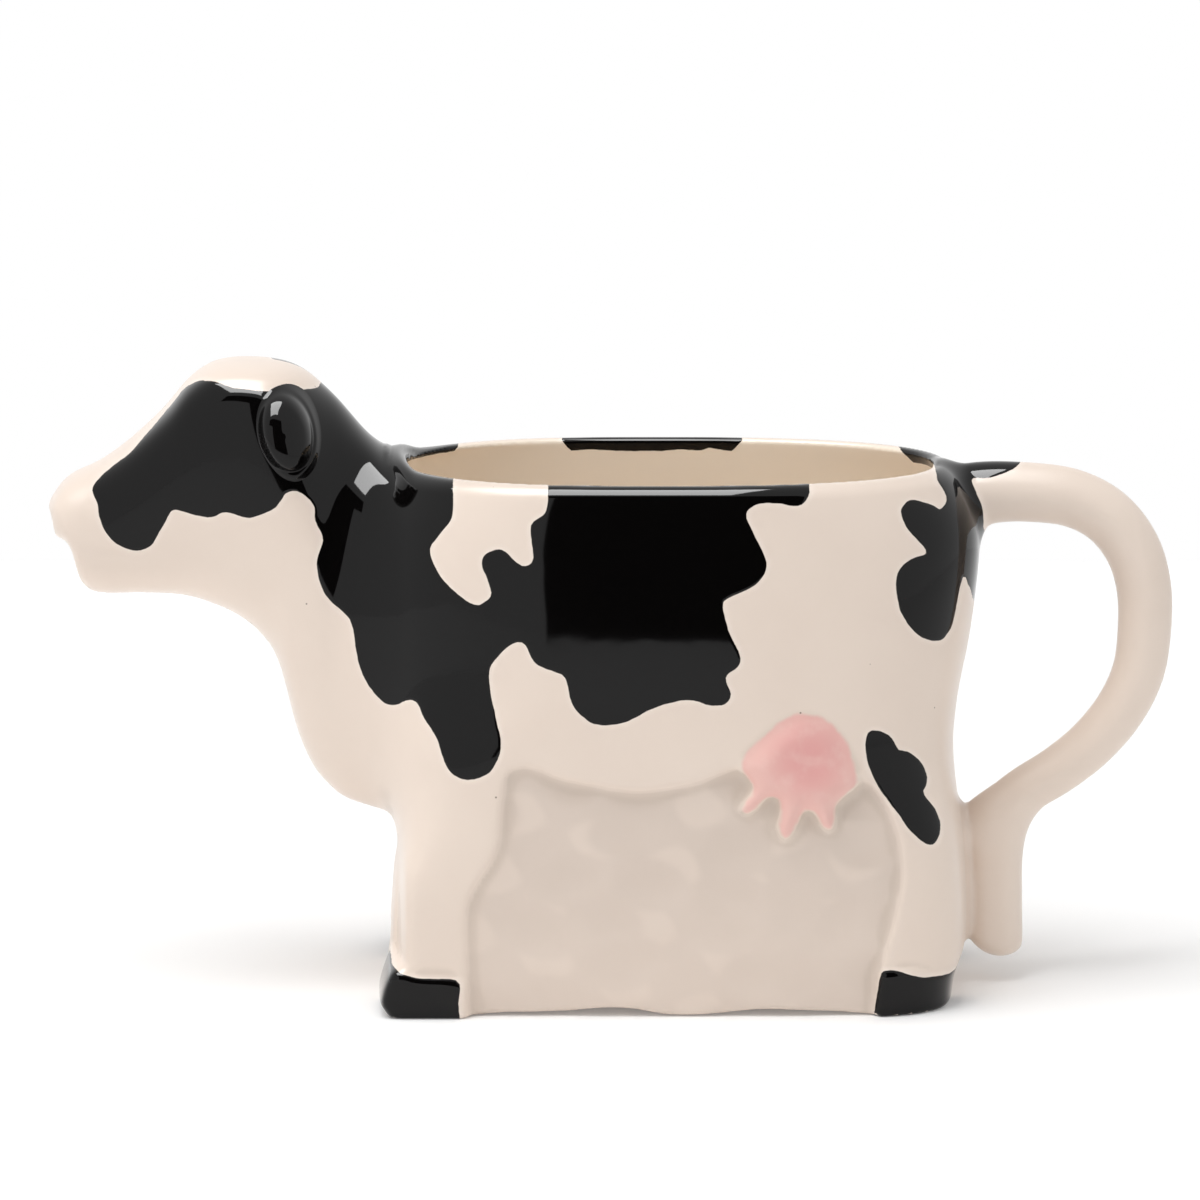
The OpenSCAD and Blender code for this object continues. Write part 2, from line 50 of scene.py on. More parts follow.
VIEW_ABOVE = np.array([0, math.sin(VIEW_LIFT), math.cos(VIEW_LIFT)])
camera = bpy.data.objects.new("camera", bpy.data.cameras.new("camera"))
camera.location = (VIEW_CENTRE - VIEW_DISTANCE * VIEW_AHEAD) * MM
camera.rotation_euler = (math.pi / 2 - VIEW_LIFT, 0, 0)
camera.data.sensor_width = SENSOR_W
camera.data.lens = SENSOR_W * VIEW_DISTANCE / (FRAME_PIXELS * PIXEL_SIZE)
bpy.context.scene.collection.objects.link(camera)
bpy.context.scene.camera = camera


def to_pixels(x, y, z):
    """Place of a point in the photograph's frame."""
    rel = np.stack([x, y, z], -1) - VIEW_CENTRE
    scale = VIEW_DISTANCE / PIXEL_SIZE / (VIEW_DISTANCE + rel @ VIEW_AHEAD)
    return np.stack([rel[..., 0] * scale, -(rel @ VIEW_ABOVE) * scale], -1) + FRAME_PIXELS / 2


def from_pixels(points, y):
    """Place of pixels on the upright plane at y, as x and z."""
    px = (np.array(points, float) - FRAME_PIXELS / 2) * PIXEL_SIZE / VIEW_DISTANCE
    ray = VIEW_AHEAD + px[:, :1] * np.array([1, 0, 0]) - px[:, 1:] * VIEW_ABOVE
    start = VIEW_CENTRE - VIEW_DISTANCE * VIEW_AHEAD
    hit = start + ray * ((y - start[1]) / ray[:, 1:2])
    return hit[:, [0, 2]]


# The vessel is slip cast in a two-part mould that parts along the cow's middle plane, so its form is
# half a thickness for each place in the side view. Its floor, flanks and breast are one wall.
BODY_LEN, HEAD_REACH, HANDLE_REACH = 105.5, 61.2, 35.0
BELLY_W, RIM_W, FOOT_W = 68.0, 62.0, 63.0
RIM_H, RIM_RISE, RISE_LEN = 95.0, 1.8, 5.0
BELLY_H, BELLY_BACK = 58.0, 50.0
WALL, FLOOR_T, FLOOR_ROUND, FOOT_RECESS, FOOT_RING, FOOT_EDGE = 4.0, 5.0, 7.0, 1.5, 7.0, 0.8
RUMP_H, HOCK_H, HOCK_TUCK, HEEL_TUCK, HEEL_CUT, RIM_TUCK = 81.0, 43.0, 4.3, 2.0, 2.4, 5.0
BREAST_W, BREAST_FADE, KNEE_TUCK, HOOF_H, TOE_OUT = 28.0, 9.0, 1.0, 8.0, 2.2
LEG_BACK, LEG_ROUND, PANEL_HALF, PANEL_ROUND = 2.4, 3.0, 18.0, 2.0
HOOF_ROUND, FRONT_BOW = 3.0, 0.35
LEG_TOP, LEG_FADE, HOOF_TOP_H = 19.0, 23.0, 9.6
CHEST_W, CHEST_H, BRISKET_H = 44.0, 60.0, 31.5
BELLY_LINE_H = 45.3
SEAT_X = (HEAD_REACH - BODY_LEN - HANDLE_REACH) / 2
RUMP_X = SEAT_X + BODY_LEN
BELLY_X = SEAT_X + BELLY_BACK
NECK_TOP = RIM_H + RIM_RISE
FLOOR_H = FOOT_RECESS + FLOOR_T
FRONT_ROUND = 5.0
NO_CLAY = -900.0


def curve(pairs, s):
    """Smooth line through [position, value] pairs."""
    p, v = np.array(pairs, float).T
    slope = np.gradient(v, p)
    slope[1:-1] = (v[2:] - v[:-2]) / (p[2:] - p[:-2])
    s = np.clip(s, p[0], p[-1])
    i = np.clip(np.searchsorted(p, s) - 1, 0, len(p) - 2)
    w = p[i + 1] - p[i]
    t = (s - p[i]) / w
    value = (1 + 2 * t) * (1 - t) ** 2 * v[i] + t * t * (3 - 2 * t) * v[i + 1]
    return value + t * (1 - t) ** 2 * w * slope[i] - t * t * (1 - t) * w * slope[i + 1]


def ease(t):
    """Smooth step from 0 to 1."""
    t = np.clip(t, 0, 1)
    return t * t * (3 - 2 * t)


def mix(a, b, t):
    return a + (b - a) * t


def signed_power(v, e):
    return np.sign(v) * np.abs(v) ** e


REAR_LINE = [
    [0, -HEEL_TUCK - HEEL_CUT], [HOOF_H * 0.6, -HEEL_TUCK - HEEL_CUT * 0.7],
    [HOOF_H * 1.2, -HEEL_TUCK], [HOCK_H * 0.6, -HEEL_TUCK - HOCK_TUCK * 0.1], [HOCK_H, -HOCK_TUCK],
    [mix(HOCK_H, RUMP_H, 0.25), -HOCK_TUCK * 0.86], [mix(HOCK_H, RUMP_H, 0.6), -HOCK_TUCK * 0.3],
    [RUMP_H, 0.2], [mix(RUMP_H, RIM_H, 0.5), -RIM_TUCK * 0.22], [RIM_H, -RIM_TUCK]]
PANEL_LINE = [[0, -0.3], [9, -0.3], [13, -0.1], [18, 0.25], [22.3, 0.6], [25, 1.1], [31, 1.4]]
TOE_LINE = [[0, -0.6], [0.7, -1.1], [2, -1.9], [3.5, -1.9], [6.4, -1.1], [8.2, -0.3], [9.2, 0.5],
            [10, 2.2]]
FRONT_LINE = [
    [0, -TOE_OUT], [HOOF_H * 0.5, -TOE_OUT * 0.86], [HOOF_H, -TOE_OUT * 0.27], [HOOF_H * 1.5, 0],
    [BRISKET_H * 0.6, KNEE_TUCK * 0.4], [BRISKET_H * 0.85, KNEE_TUCK], [BRISKET_H, 0]]
REAR_POWER = [[0, 5], [BRISKET_H, 4.4], [BELLY_LINE_H, 3.2], [BELLY_H, 2.8], [RIM_H, 2.4]]
FORE_POWER = [[0, 13], [BRISKET_H * 0.8, 11], [BELLY_LINE_H, 6.0], [BELLY_H, 3.2], [RIM_H, 3.4]]
FORE_ROOT = [[0, 2.2], [BRISKET_H * 0.8, 2.1], [BELLY_LINE_H, 1.7], [BELLY_H, 1.2], [RIM_H, 1.15]]


def level_half(z):
    """Half of the vessel's width at a height."""
    above = mix(BELLY_W, RIM_W, ((z - BELLY_H) / (RIM_H - BELLY_H)) ** 2)
    below = mix(BELLY_W, FOOT_W, ((BELLY_H - z) / BELLY_H) ** 2)
    return np.where(z > BELLY_H, above, below) / 2


def square_end(x, start, corner, half):
    """Square of the half width behind a nearly flat front with round corners."""
    into = x - start
    arc = np.sqrt(corner ** 2 - np.clip(corner - into, 0, corner) ** 2)
    flat = np.maximum((half - corner) ** 2 * (1 + into / FRONT_BOW), NO_CLAY)
    return np.where(into > 0, (half - corner + arc) ** 2, flat)


def vessel_square(x, z, standing=True):
    """Square of the vessel's half thickness; below zero outside its outline."""
    z = np.clip(z, 0, RIM_H)
    half = level_half(z)
    front = np.where(z < BRISKET_H, SEAT_X + curve(FRONT_LINE, z), SEAT_X)
    panel = BREAST_W / 2 * (1 - ease((z - BRISKET_H) / BREAST_FADE))
    neck = np.sqrt(np.maximum(head_square(SEAT_X + 0 * z, z), 0))
    breast = np.where(z <= BRISKET_H, panel, np.maximum(panel, neck))
    s = np.clip((x - front) / (BELLY_X - front), 0, 1)
    round_out = (1 - (1 - s) ** curve(FORE_POWER, z)) ** (1 / curve(FORE_ROOT, z))
    closing = np.maximum((front + FRONT_ROUND - x) / FRONT_ROUND, 0)
    fore = mix(breast, half, round_out) ** 2 * signed_power(1 - closing ** 3, 2 / 3)
    leg = square_end(x, SEAT_X + LEG_BACK, LEG_ROUND, half)
    apron = square_end(x, SEAT_X + curve(PANEL_LINE, z), PANEL_ROUND, PANEL_HALF)
    toe = square_end(x, SEAT_X + curve(TOE_LINE, z), HOOF_ROUND, half)
    hoof = np.where(z < HOOF_TOP_H, toe, NO_CLAY)
    if standing:
        stand = np.maximum(np.maximum(leg, apron), hoof)
        fore = mix(stand, fore, ease((z - LEG_TOP) / LEG_FADE))
    rear = RUMP_X + curve(REAR_LINE, z)
    s = np.maximum((x - BELLY_X) / (rear - BELLY_X), 0)
    p = curve(REAR_POWER, z)
    hind = half ** 2 * signed_power(1 - s ** p, 2 / p)
    return np.where(x < BELLY_X, fore, hind)


# The head and neck are a second casting, hollow through to the pouring hole in the mouth. It is
# stuck to the front of the vessel with slip while the clay is damp, and its joint is smoothed over.
HEAD_W, MUZZLE_W, POLL_REACH, POLL_H = 35.5, 24.5, 24.0, 113.5
CHIN_H, MUZZLE_RISE, THROAT_REACH, THROAT_H = 71.4, 15.6, 20.6, 59.0
MOUTH_D, MOUTH_RISE, PAST_END = 7.6, 9.4, 60.0
MUZZLE_H = CHIN_H + MUZZLE_RISE
MOUTH_H = CHIN_H + MOUTH_RISE
CHEEK_H = mix(CHIN_H, POLL_H, 0.46)


def between(start, end, low, high, shares):
    """Points at shares of the way along and of the way up between two places."""
    return [[mix(start, end, along), mix(low, high, up)] for along, up in shares]


CREST_LINE = between(0, POLL_REACH, NECK_TOP, POLL_H, [
    (0, 0), (0.17, 0.2), (0.43, 0.62), (0.7, 0.92), (1, 1)])
CREST_LINE += between(POLL_REACH, HEAD_REACH, POLL_H, MUZZLE_H, [
    (0.2, 0.02), (0.33, 0.135), (0.44, 0.32), (0.62, 0.555), (0.76, 0.695), (0.9, 0.79),
    (0.96, 0.868), (1, 0.96)])
JAW_LINE = between(0, THROAT_REACH, BRISKET_H, THROAT_H, [
    (0, 0), (0.41, 0.09), (0.55, 0.17), (0.7, 0.305), (0.84, 0.56), (0.985, 1)])
JAW_LINE += between(THROAT_REACH, HEAD_REACH, THROAT_H, CHIN_H, [
    (0.06, 0.37), (0.14, 0.61), (0.24, 0.79), (0.4, 0.96)])
JAW_LINE += between(THROAT_REACH, HEAD_REACH, CHIN_H, MUZZLE_H, [
    (0.6, 0), (0.75, 0.0), (0.815, 0.03), (0.858, 0.125), (0.88, 0.26), (0.892, 0.42), (0.903, 0.55),
    (0.927, 0.63), (0.978, 0.685), (0.992, 0.81), (1, 0.97)])
HALF_LINE = between(0, POLL_REACH, CHEST_W / 2, HEAD_W / 2, [
    (0, 0), (0.2, 0.58), (0.38, 0.93), (0.54, 1.0)])
HALF_LINE += between(POLL_REACH, HEAD_REACH, HEAD_W / 2, MUZZLE_W / 2, [
    (0, 0.25), (0.14, 0.42), (0.29, 0.59), (0.45, 0.76), (0.62, 0.91)])
HALF_LINE += between(POLL_REACH, HEAD_REACH, 0, MUZZLE_W / 2, [
    (0.78, 1), (0.89, 0.96), (0.945, 0.84), (0.98, 0.62), (1, 0.3)])
FULLEST_LINE = between(0, POLL_REACH, CHEST_H, CHEEK_H, [
    (0, 0), (0.22, 0.09), (0.42, 0.34), (0.6, 0.66), (0.78, 0.89), (1, 0.99)])
FULLEST_LINE += between(POLL_REACH, HEAD_REACH, CHEEK_H, MUZZLE_H, [(0.2, 0), (0.43, 0.6)])
FULLEST_LINE += between(POLL_REACH, HEAD_REACH, CHIN_H, MUZZLE_H, [
    (0.7, 0.81), (0.86, 0.8), (0.95, 0.95), (1, 1)])
CREST_POWER = [
    [0, 2.8], [POLL_REACH * 0.25, 2.1], [POLL_REACH * 0.55, 2.2], [POLL_REACH * 0.8, 3.2],
    [POLL_REACH, 4.0], [POLL_REACH * 1.5, 3.6], [HEAD_REACH * 0.85, 2.6], [HEAD_REACH, 2.3]]
JAW_POWER = 2.6


def head_square(x, z):
    """Square of the head's half thickness; below zero outside its outline."""
    ahead = SEAT_X - x
    d = np.clip(ahead, 0, HEAD_REACH)
    top, low = curve(CREST_LINE, d), curve(JAW_LINE, d)
    mid = np.clip(curve(FULLEST_LINE, d), mix(low, top, 0.1), mix(low, top, 0.9))
    over = z > mid
    u = np.abs(z - mid) / np.where(over, top - mid, mid - low)
    p = np.where(over, curve(CREST_POWER, d), JAW_POWER)
    past = np.maximum(ahead - HEAD_REACH, 0) + np.maximum(-ahead - 2 * WALL, 0)
    return curve(HALF_LINE, d) ** 2 * signed_power(1 - u ** p, 2 / p) - past * PAST_END


# The damp clay of vessel and head is sponged into one form. It is worked out in the side view, on a
# fine lattice that holds the square of the half thickness, and softened most at neck and elbow.
LATTICE, LATTICE_X, LATTICE_Z = 0.3, (-106, 106.2), (-6, 121.2)
SPONGE_NECK, SPONGE_ELBOW, SPONGE_BROAD, SPONGE_FINE = 3.5, 2.0, 0.8, 0.35
NECK_JOINT_W, NECK_JOINT_LOW, NECK_JOINT_TOP = 9.0, 34.0, 97.0
ELBOW_X, ELBOW_W, ELBOW_LOW, ELBOW_TOP = -37.0, 9.0, 25.0, 50.0
FORE_LEG_X, FORE_LEG_H, NOSE_X = -28.0, 32.0, -90.0
lat_x = np.arange(*LATTICE_X, LATTICE)[:, None]
lat_z = np.arange(*LATTICE_Z, LATTICE)[None, :]
grid_x = lat_x + 0 * lat_z
grid_z = lat_z + 0 * lat_x


def soften(field, reach):
    """Weighted mean of a lattice over a reach in millimetres."""
    n = int(3 * reach / LATTICE)
    k = np.exp(-0.5 * (np.arange(-n, n + 1) * LATTICE / reach) ** 2)
    k /= k.sum()
    for axis in (0, 1):
        pad = [(n, n) if a == axis else (0, 0) for a in (0, 1)]
        wide = np.pad(field, pad, mode="edge")
        size = field.shape[axis]
        field = sum(w * np.take(wide, range(i, i + size), axis) for i, w in enumerate(k))
    return field


vessel_lat = vessel_square(grid_x, grid_z, standing=False)
head_lat = head_square(grid_x, grid_z)
cow_lat = np.maximum(vessel_square(grid_x, grid_z), head_lat)
near_seat = np.exp(-((lat_x - SEAT_X) / NECK_JOINT_W) ** 2)
near_seat = near_seat * ease((lat_z - NECK_JOINT_LOW) / 8) * ease((NECK_JOINT_TOP - lat_z) / 7)
cow_lat = mix(cow_lat, soften(cow_lat, SPONGE_NECK), near_seat)
near_elbow = np.exp(-((lat_x - ELBOW_X) / ELBOW_W) ** 2)
near_elbow = near_elbow * ease((lat_z - ELBOW_LOW) / 8) * ease((ELBOW_TOP - lat_z) / 8)
thick = ease(np.sqrt(np.maximum(cow_lat, 0)) / 8 - 1)
cow_lat = mix(cow_lat, soften(cow_lat, SPONGE_ELBOW), near_elbow * thick)
on_leg = ease((FORE_LEG_X - lat_x) / 5) * ease((FORE_LEG_H - lat_z) / 6)
broad = ease((lat_x - NOSE_X) / 8) * (1 - on_leg)
cow_lat = mix(soften(cow_lat, SPONGE_FINE), soften(cow_lat, SPONGE_BROAD), broad)


# Legs, hooves and belly are raised in the same cast wall. They stand out from a ground that is sunk
# between them, and the mould gives that ground broad shallow dents.
FORE_LEG_EDGE = [[0, -25.2], [8, -25.5], [14, -25.7], [20, -25.5], [24, -24], [28, -21.4],
                 [32, -19.8], [38, -19.2], [44, -18.6]]
HIND_LEG_EDGE = [[0, 46.6], [8.5, 47.6], [18, 49.9], [25, 51.2], [31, 50.7], [37, 48.8], [41.5, 46]]
BELLY_EDGE = [[-19, 43.6], [-17.6, 45], [-14.5, 45.5], [-9, 43.4], [-2, 42], [5, 41.1], [14, 42.5],
              [21.5, 45], [24, 44.3], [43, 42.6], [46.5, 41.6]]
GROUND_DEPTH, RELIEF_EDGE = 1.3, 1.8
FORE_HOOF_TOP = [[-42, 9.6], [-38, 8.6], [-34, 7.6], [-28, 7.2], [-26, 6.4]]
HIND_HOOF_TOP = [[48, 8.2], [53, 8.4], [57, 7.3], [63, 7.1]]
HOOF_FLARE, HOOF_EDGE = 1.0, 1.3
FORE_TO_HIND_X = 10.0
DENT_COUNT, DENT_TRIES, DENT_CURVE, DENT_REACH = 38, 4, 0.010, 60.0
DENT_LOW, DENT_HIGH, DENT_SPREAD = [-30, -4], [56, 50], [1, 1.4]
DENT_TURN, DENT_FLAT, DENT_UNEVEN, DENT_SOFT = 0.6, 1.5, 6.0, 0.7
FIRST_DENT = [-25.0, 5.0]
in_ground = ease((grid_x - curve(FORE_LEG_EDGE, grid_z)) / RELIEF_EDGE + 0.5)
in_ground *= ease((curve(HIND_LEG_EDGE, grid_z) - grid_x) / RELIEF_EDGE + 0.5)
in_ground *= ease((curve(BELLY_EDGE, grid_x) - grid_z) / RELIEF_EDGE + 0.5)
draw = np.random.default_rng(7)
dent_far = np.full(grid_x.shape, 1e9)
dent_at = np.array([FIRST_DENT])
for _ in range(DENT_COUNT):
    tries = draw.uniform(DENT_LOW, DENT_HIGH, (DENT_TRIES, 2))
    gap = np.linalg.norm((tries[:, None] - dent_at) * DENT_SPREAD, axis=2).min(1)
    dent_at = np.vstack([dent_at, tries[gap.argmax()]])
    (cx, cz), turn = dent_at[-1], draw.uniform(-DENT_TURN, DENT_TURN)
    along = (grid_x - cx) * math.cos(turn) + (grid_z - cz) * math.sin(turn)
    across = (grid_z - cz) * math.cos(turn) - (grid_x - cx) * math.sin(turn)
    bowl = along ** 2 + (across * DENT_FLAT) ** 2 + draw.uniform(0, DENT_UNEVEN)
    dent_far = np.minimum(dent_far, bowl)
dents = soften(DENT_CURVE * np.minimum(dent_far, DENT_REACH), DENT_SOFT)
dents -= dents[in_ground > 0.9].mean()
fore_top, hind_top = curve(FORE_HOOF_TOP, grid_x), curve(HIND_HOOF_TOP, grid_x)
hoof_top = np.where(grid_x < FORE_TO_HIND_X, fore_top, hind_top)
in_hoof = ease((hoof_top - grid_z) / HOOF_EDGE + 0.5) * (1 - in_ground)
relief = -GROUND_DEPTH * in_ground + dents * in_ground + HOOF_FLARE * in_hoof


# The udder is a low pad of clay with three teats on each flank. It is pressed in a small mould and
# stuck to the wall with slip, and its outline was measured in the photograph's frame.
UDDER_Y, UDDER_OUT, UDDER_ROUND, UDDER_EDGE, UDDER_BASE = -33.0, 1.9, 4.5, 1.2, 0.2
UDDER_X, UDDER_H, UDDER_REACH, UDDER_FLAT, UDDER_FLAT_H = 33.0, 44.0, 16.0, 0.8, 42.0
UDDER_PIXELS = [
    (801, 713), (780, 722), (762, 735), (746, 753), (740, 766), (748, 780), (751, 789), (740, 808),
    (746, 815), (757, 810), (768, 799), (777, 800), (778, 812), (776, 828), (783, 840), (792, 836),
    (800, 822), (806, 812), (814, 816), (822, 828), (831, 832), (836, 824), (837, 808), (846, 798),
    (860, 786), (854, 765), (846, 741), (826, 721)]


def smooth_outline(points, steps=6):
    """Closed round curve through measured points."""
    p = np.array(points, float)
    a, b, c, d = (np.roll(p, k, 0)[:, None] for k in (1, 0, -1, -2))
    t = (np.arange(steps) / steps)[None, :, None]
    line = b + 0.5 * t * (c - a + t * (2 * a - 5 * b + 4 * c - d + t * (3 * (b - c) + d - a)))
    return line.reshape(-1, 2)


def depth_inside(outline, u, v):
    """Distance to a closed outline, above zero inside it."""
    best = np.full(u.shape, 1e9)
    inside = np.zeros(u.shape, bool)
    for (ax, ay), (bx, by) in zip(outline, np.roll(outline, -1, 0)):
        ex, ey = bx - ax, by - ay
        wx, wy = u - ax, v - ay
        t = np.clip((wx * ex + wy * ey) / (ex * ex + ey * ey + 1e-12), 0, 1)
        best = np.minimum(best, (wx - t * ex) ** 2 + (wy - t * ey) ** 2)
        if ay != by:
            inside ^= ((ay > v) != (by > v)) & (wx < ex * wy / ey)
    return np.where(inside, 1, -1) * np.sqrt(best)


udder_line = smooth_outline(from_pixels(UDDER_PIXELS, UDDER_Y))
around = (np.abs(grid_x - UDDER_X) < UDDER_REACH) & (np.abs(grid_z - UDDER_H) < UDDER_REACH)
udder_in = np.full(grid_x.shape, -9.0)
udder_in[around] = depth_inside(udder_line, grid_x[around], grid_z[around])
on_udder = ease(udder_in / UDDER_EDGE + 0.5)
relief = mix(relief, UDDER_BASE * in_ground, on_udder)
swell = np.clip(udder_in / UDDER_ROUND, 0, 1)
upper = ease((grid_z - UDDER_FLAT_H) / 8)
relief += UDDER_OUT * mix(1 - (1 - swell) ** 2, ease(swell) * UDDER_FLAT, upper)


# The mouth is a faint groove along each side of the muzzle, drawn in the damp clay. It starts behind
# the nose and fades out on the cheek.
LIP_H, LIP_DEPTH, LIP_W, LIP_FRONT_X, LIP_BACK_X = 79.8, 0.22, 1.1, -99.0, -79.0
lip = np.exp(-((grid_z - LIP_H) / LIP_W) ** 2)
lip = lip * ease((grid_x - LIP_FRONT_X) / 4) * ease((LIP_BACK_X - grid_x) / 9)
relief = soften(relief - LIP_DEPTH * lip, SPONGE_FINE)


# The tail is the handle: a solid tapered bar with a soft ridge along each side, cast on its own. It
# is stuck to the rump with slip, bends down and ends in the tuft.
TAIL_ROOT_D, TAIL_TIP_D, ROOT_FLARE, TAIL_DROP = 11.2, 8.2, 1.5, 5.6
BEND_H, TUFT_JOINT_H, TAIL_RIDGE, TAIL_STEPS = 64.5, 35.2, 1.78, 700
TAIL_FROM_X, TAIL_SOFT, FAR_OFF, FAR_RADIUS = 52.0, 0.45, 60.0, 5.0
TAIL_H = RIM_H - TAIL_DROP
BEND_X = RUMP_X + HANDLE_REACH - mix(TAIL_ROOT_D, TAIL_TIP_D, 0.58) / 2
TAIL_PATH = [[RUMP_X - RIM_TUCK - WALL / 2, TAIL_H - ROOT_FLARE]]
TAIL_PATH += between(RUMP_X, BEND_X, BEND_H, TAIL_H, [
    (0, 1), (0.28, 1), (0.55, 0.957), (0.765, 0.82), (0.915, 0.587), (0.985, 0.31), (0.993, 0)])
TAIL_PATH += between(RUMP_X, BEND_X, TUFT_JOINT_H, BEND_H, [
    (0.96, 0.735), (0.855, 0.497), (0.69, 0.285), (0.497, 0.12), (0.293, -0.013), (0.143, -0.133),
    (-0.01, -0.258)])
TAIL_END = len(TAIL_PATH) - 1
tail_t = np.linspace(0, TAIL_END, TAIL_STEPS)
tail_flare = ROOT_FLARE * np.maximum(1 - tail_t / 2, 0) ** 2
tail_x = curve([[i, p[0]] for i, p in enumerate(TAIL_PATH)], tail_t)
tail_z = curve([[i, p[1]] for i, p in enumerate(TAIL_PATH)], tail_t) - tail_flare
tail_r = mix(TAIL_ROOT_D, TAIL_TIP_D, tail_t / TAIL_END) / 2 + tail_flare
tail_far = np.full(grid_x.shape, FAR_OFF)
tail_rad = np.full(grid_x.shape, FAR_RADIUS)
for i in np.where(lat_x[:, 0] > TAIL_FROM_X)[0]:
    gap = (tail_x - lat_x[i, 0]) ** 2 + (tail_z - lat_z.T) ** 2
    k = gap.argmin(1)
    tail_far[i] = np.sqrt(gap[range(len(k)), k])
    tail_rad[i] = tail_r[k]
tail_lat = tail_rad ** 2 * signed_power(1 - (tail_far / tail_rad) ** TAIL_RIDGE, 2 / TAIL_RIDGE)
tail_lat = soften(tail_lat, TAIL_SOFT)


# The tuft is the brush of the tail, a thick bar of solid clay with a round lower end. It is pressed
# in a mould and stuck to the heels with slip, and it carries the lower end of the handle.
TUFT_MID = [[0, 69.2], [8, 69.2], [16, 69.0], [22, 69.0], [27, 69.6], [31, 70.6], [36, 73]]
TUFT_HALF_X = [[2, 5.3], [14, 5.4], [22, 5.4], [28, 5.4], [36, 5.0]]
TUFT_HALF_Y = [[2, 4.6], [16, 5.0], [24, 4.8], [36, 4.2]]
TUFT_FOOT_H, TUFT_ROUND, TUFT_HEEL_X, TUFT_CURL = 4.2, 3.2, 71.0, 0.065
TUFT_SQUARE, TUFT_END, TUFT_TOP_H, TUFT_TOP_FALL = 2.6, 2.5, 30.0, 1.5
tuft_low = TUFT_FOOT_H + TUFT_CURL * np.maximum(TUFT_HEEL_X - grid_x, 0) ** 2
tuft_round = np.clip((tuft_low + TUFT_ROUND - grid_z) / TUFT_ROUND, 0, None)
tuft_side = np.abs((grid_x - curve(TUFT_MID, grid_z)) / curve(TUFT_HALF_X, grid_z)) ** TUFT_SQUARE
tuft_lat = curve(TUFT_HALF_Y, grid_z) ** 2 * (1 - tuft_side - tuft_round ** TUFT_END)
tuft_lat -= np.maximum(grid_z - TUFT_TOP_H, 0) ** 2 * TUFT_TOP_FALL


# All pieces are joined with slip, sponged smooth and fired as one, so the clay is one field that is
# below zero inside it. The joints get the round fillets that slip and glaze leave, and the foot
# lifts a little off the table between the hooves.
FOOT_LIFT = [[-27, 0], [-20, 0.5], [-8, 0.9], [-2, 1.5], [3, 1.4], [10, 0.3], [18, 0.4], [27, 1.2],
             [36, 0.9], [48, 0]]
FOOT_LIFT_Y, FOOT_LIFT_FADE = 16.0, 10.0
RIM_ROUND, TAIL_FILLET, BRUSH_FILLET, LIP_ROUND = 2.3, 3.0, 2.5, 1.2
NECK_LIFT, NECK_LIFT_W, NECK_SLOPE, FAR_TOE, FAR_TOE_H = 1.0, 4.0, 3.0, 0.7, 14.0
NECK_WAY, NECK_WAY_LOW, NECK_WAY_RISE, NECK_WAY_ROUND, NECK_WAY_JOIN = 40.0, 30.0, 14.0, 4.0, 2.0
MOUTH_ROUND, PANEL_CUT_ROUND, TOE_CUT_ROUND = 1.0, 0.8, 0.5
RECESS_ROUND, RECESS_END, RECESS_EDGE = 1.0, 2.0, 0.6
TAIL_CLAY_X = 54.0
cow_half = np.sqrt(np.maximum(cow_lat, 0))
relief_fade = ease(cow_half / 8 - 0.5)
cow_full = np.where(cow_lat > 0, np.maximum(cow_half + relief * relief_fade, 0) ** 2, cow_lat)
forms = {"cow": soften(cow_full, 0.3), "vessel": vessel_lat, "head": head_lat, "tail": tail_lat,
         "tuft": tuft_lat}
lattices = {}
for name, lat in forms.items():
    slope = np.gradient(lat, LATTICE)
    lattices[name] = np.stack([lat, slope[0] ** 2 + slope[1] ** 2], -1).astype(np.float32)


def spline_weights(t):
    """Shares of four lattice lines in a smooth reading between the middle two."""
    second = 3 * t ** 3 - 6 * t ** 2 + 4
    third = -3 * t ** 3 + 3 * t ** 2 + 3 * t + 1
    return np.stack([(1 - t) ** 3, second, third, t ** 3], -1) / 6


def sampler(x, z):
    """Reads lattices smoothly at points of the side view."""
    i = (x - lat_x[0, 0]) / LATTICE
    k = (z - lat_z[0, 0]) / LATTICE
    i0 = np.clip(np.floor(i).astype(int), 1, lat_x.shape[0] - 3)
    k0 = np.clip(np.floor(k).astype(int), 1, lat_z.shape[1] - 3)
    wi = spline_weights(np.clip(i - i0, 0, 1))
    wk = spline_weights(np.clip(k - k0, 0, 1))

    def read(lat):
        out = 0
        for a in range(4):
            for b in range(4):
                w = wi[..., a] * wk[..., b]
                v = lat[i0 + a - 1, k0 + b - 1]
                out = out + (w[..., None] * v if lat.ndim == 3 else w * v)
        return out
    return read


def round_max(a, b, r):
    """Common part of two fields, with a rounded edge."""
    return np.minimum(np.maximum(a, b), -r) + np.hypot(np.maximum(a + r, 0), np.maximum(b + r, 0))


def round_min(a, b, r):
    """Two fields together, with a fillet between them."""
    return -round_max(-a, -b, r)


def rim_height(x):
    return RIM_H + RIM_RISE * ease(1 - (x - SEAT_X) / RISE_LEN)


def vessel_well(x, z, vessel):
    """The vessel's hollow, open to the neck above the brisket."""
    well = round_max(vessel + WALL, FLOOR_H - z, FLOOR_ROUND)
    front = SEAT_X + WALL + LEG_BACK - NECK_WAY * ease((z - NECK_WAY_LOW) / NECK_WAY_RISE) - x
    return round_max(well, front, NECK_WAY_ROUND)


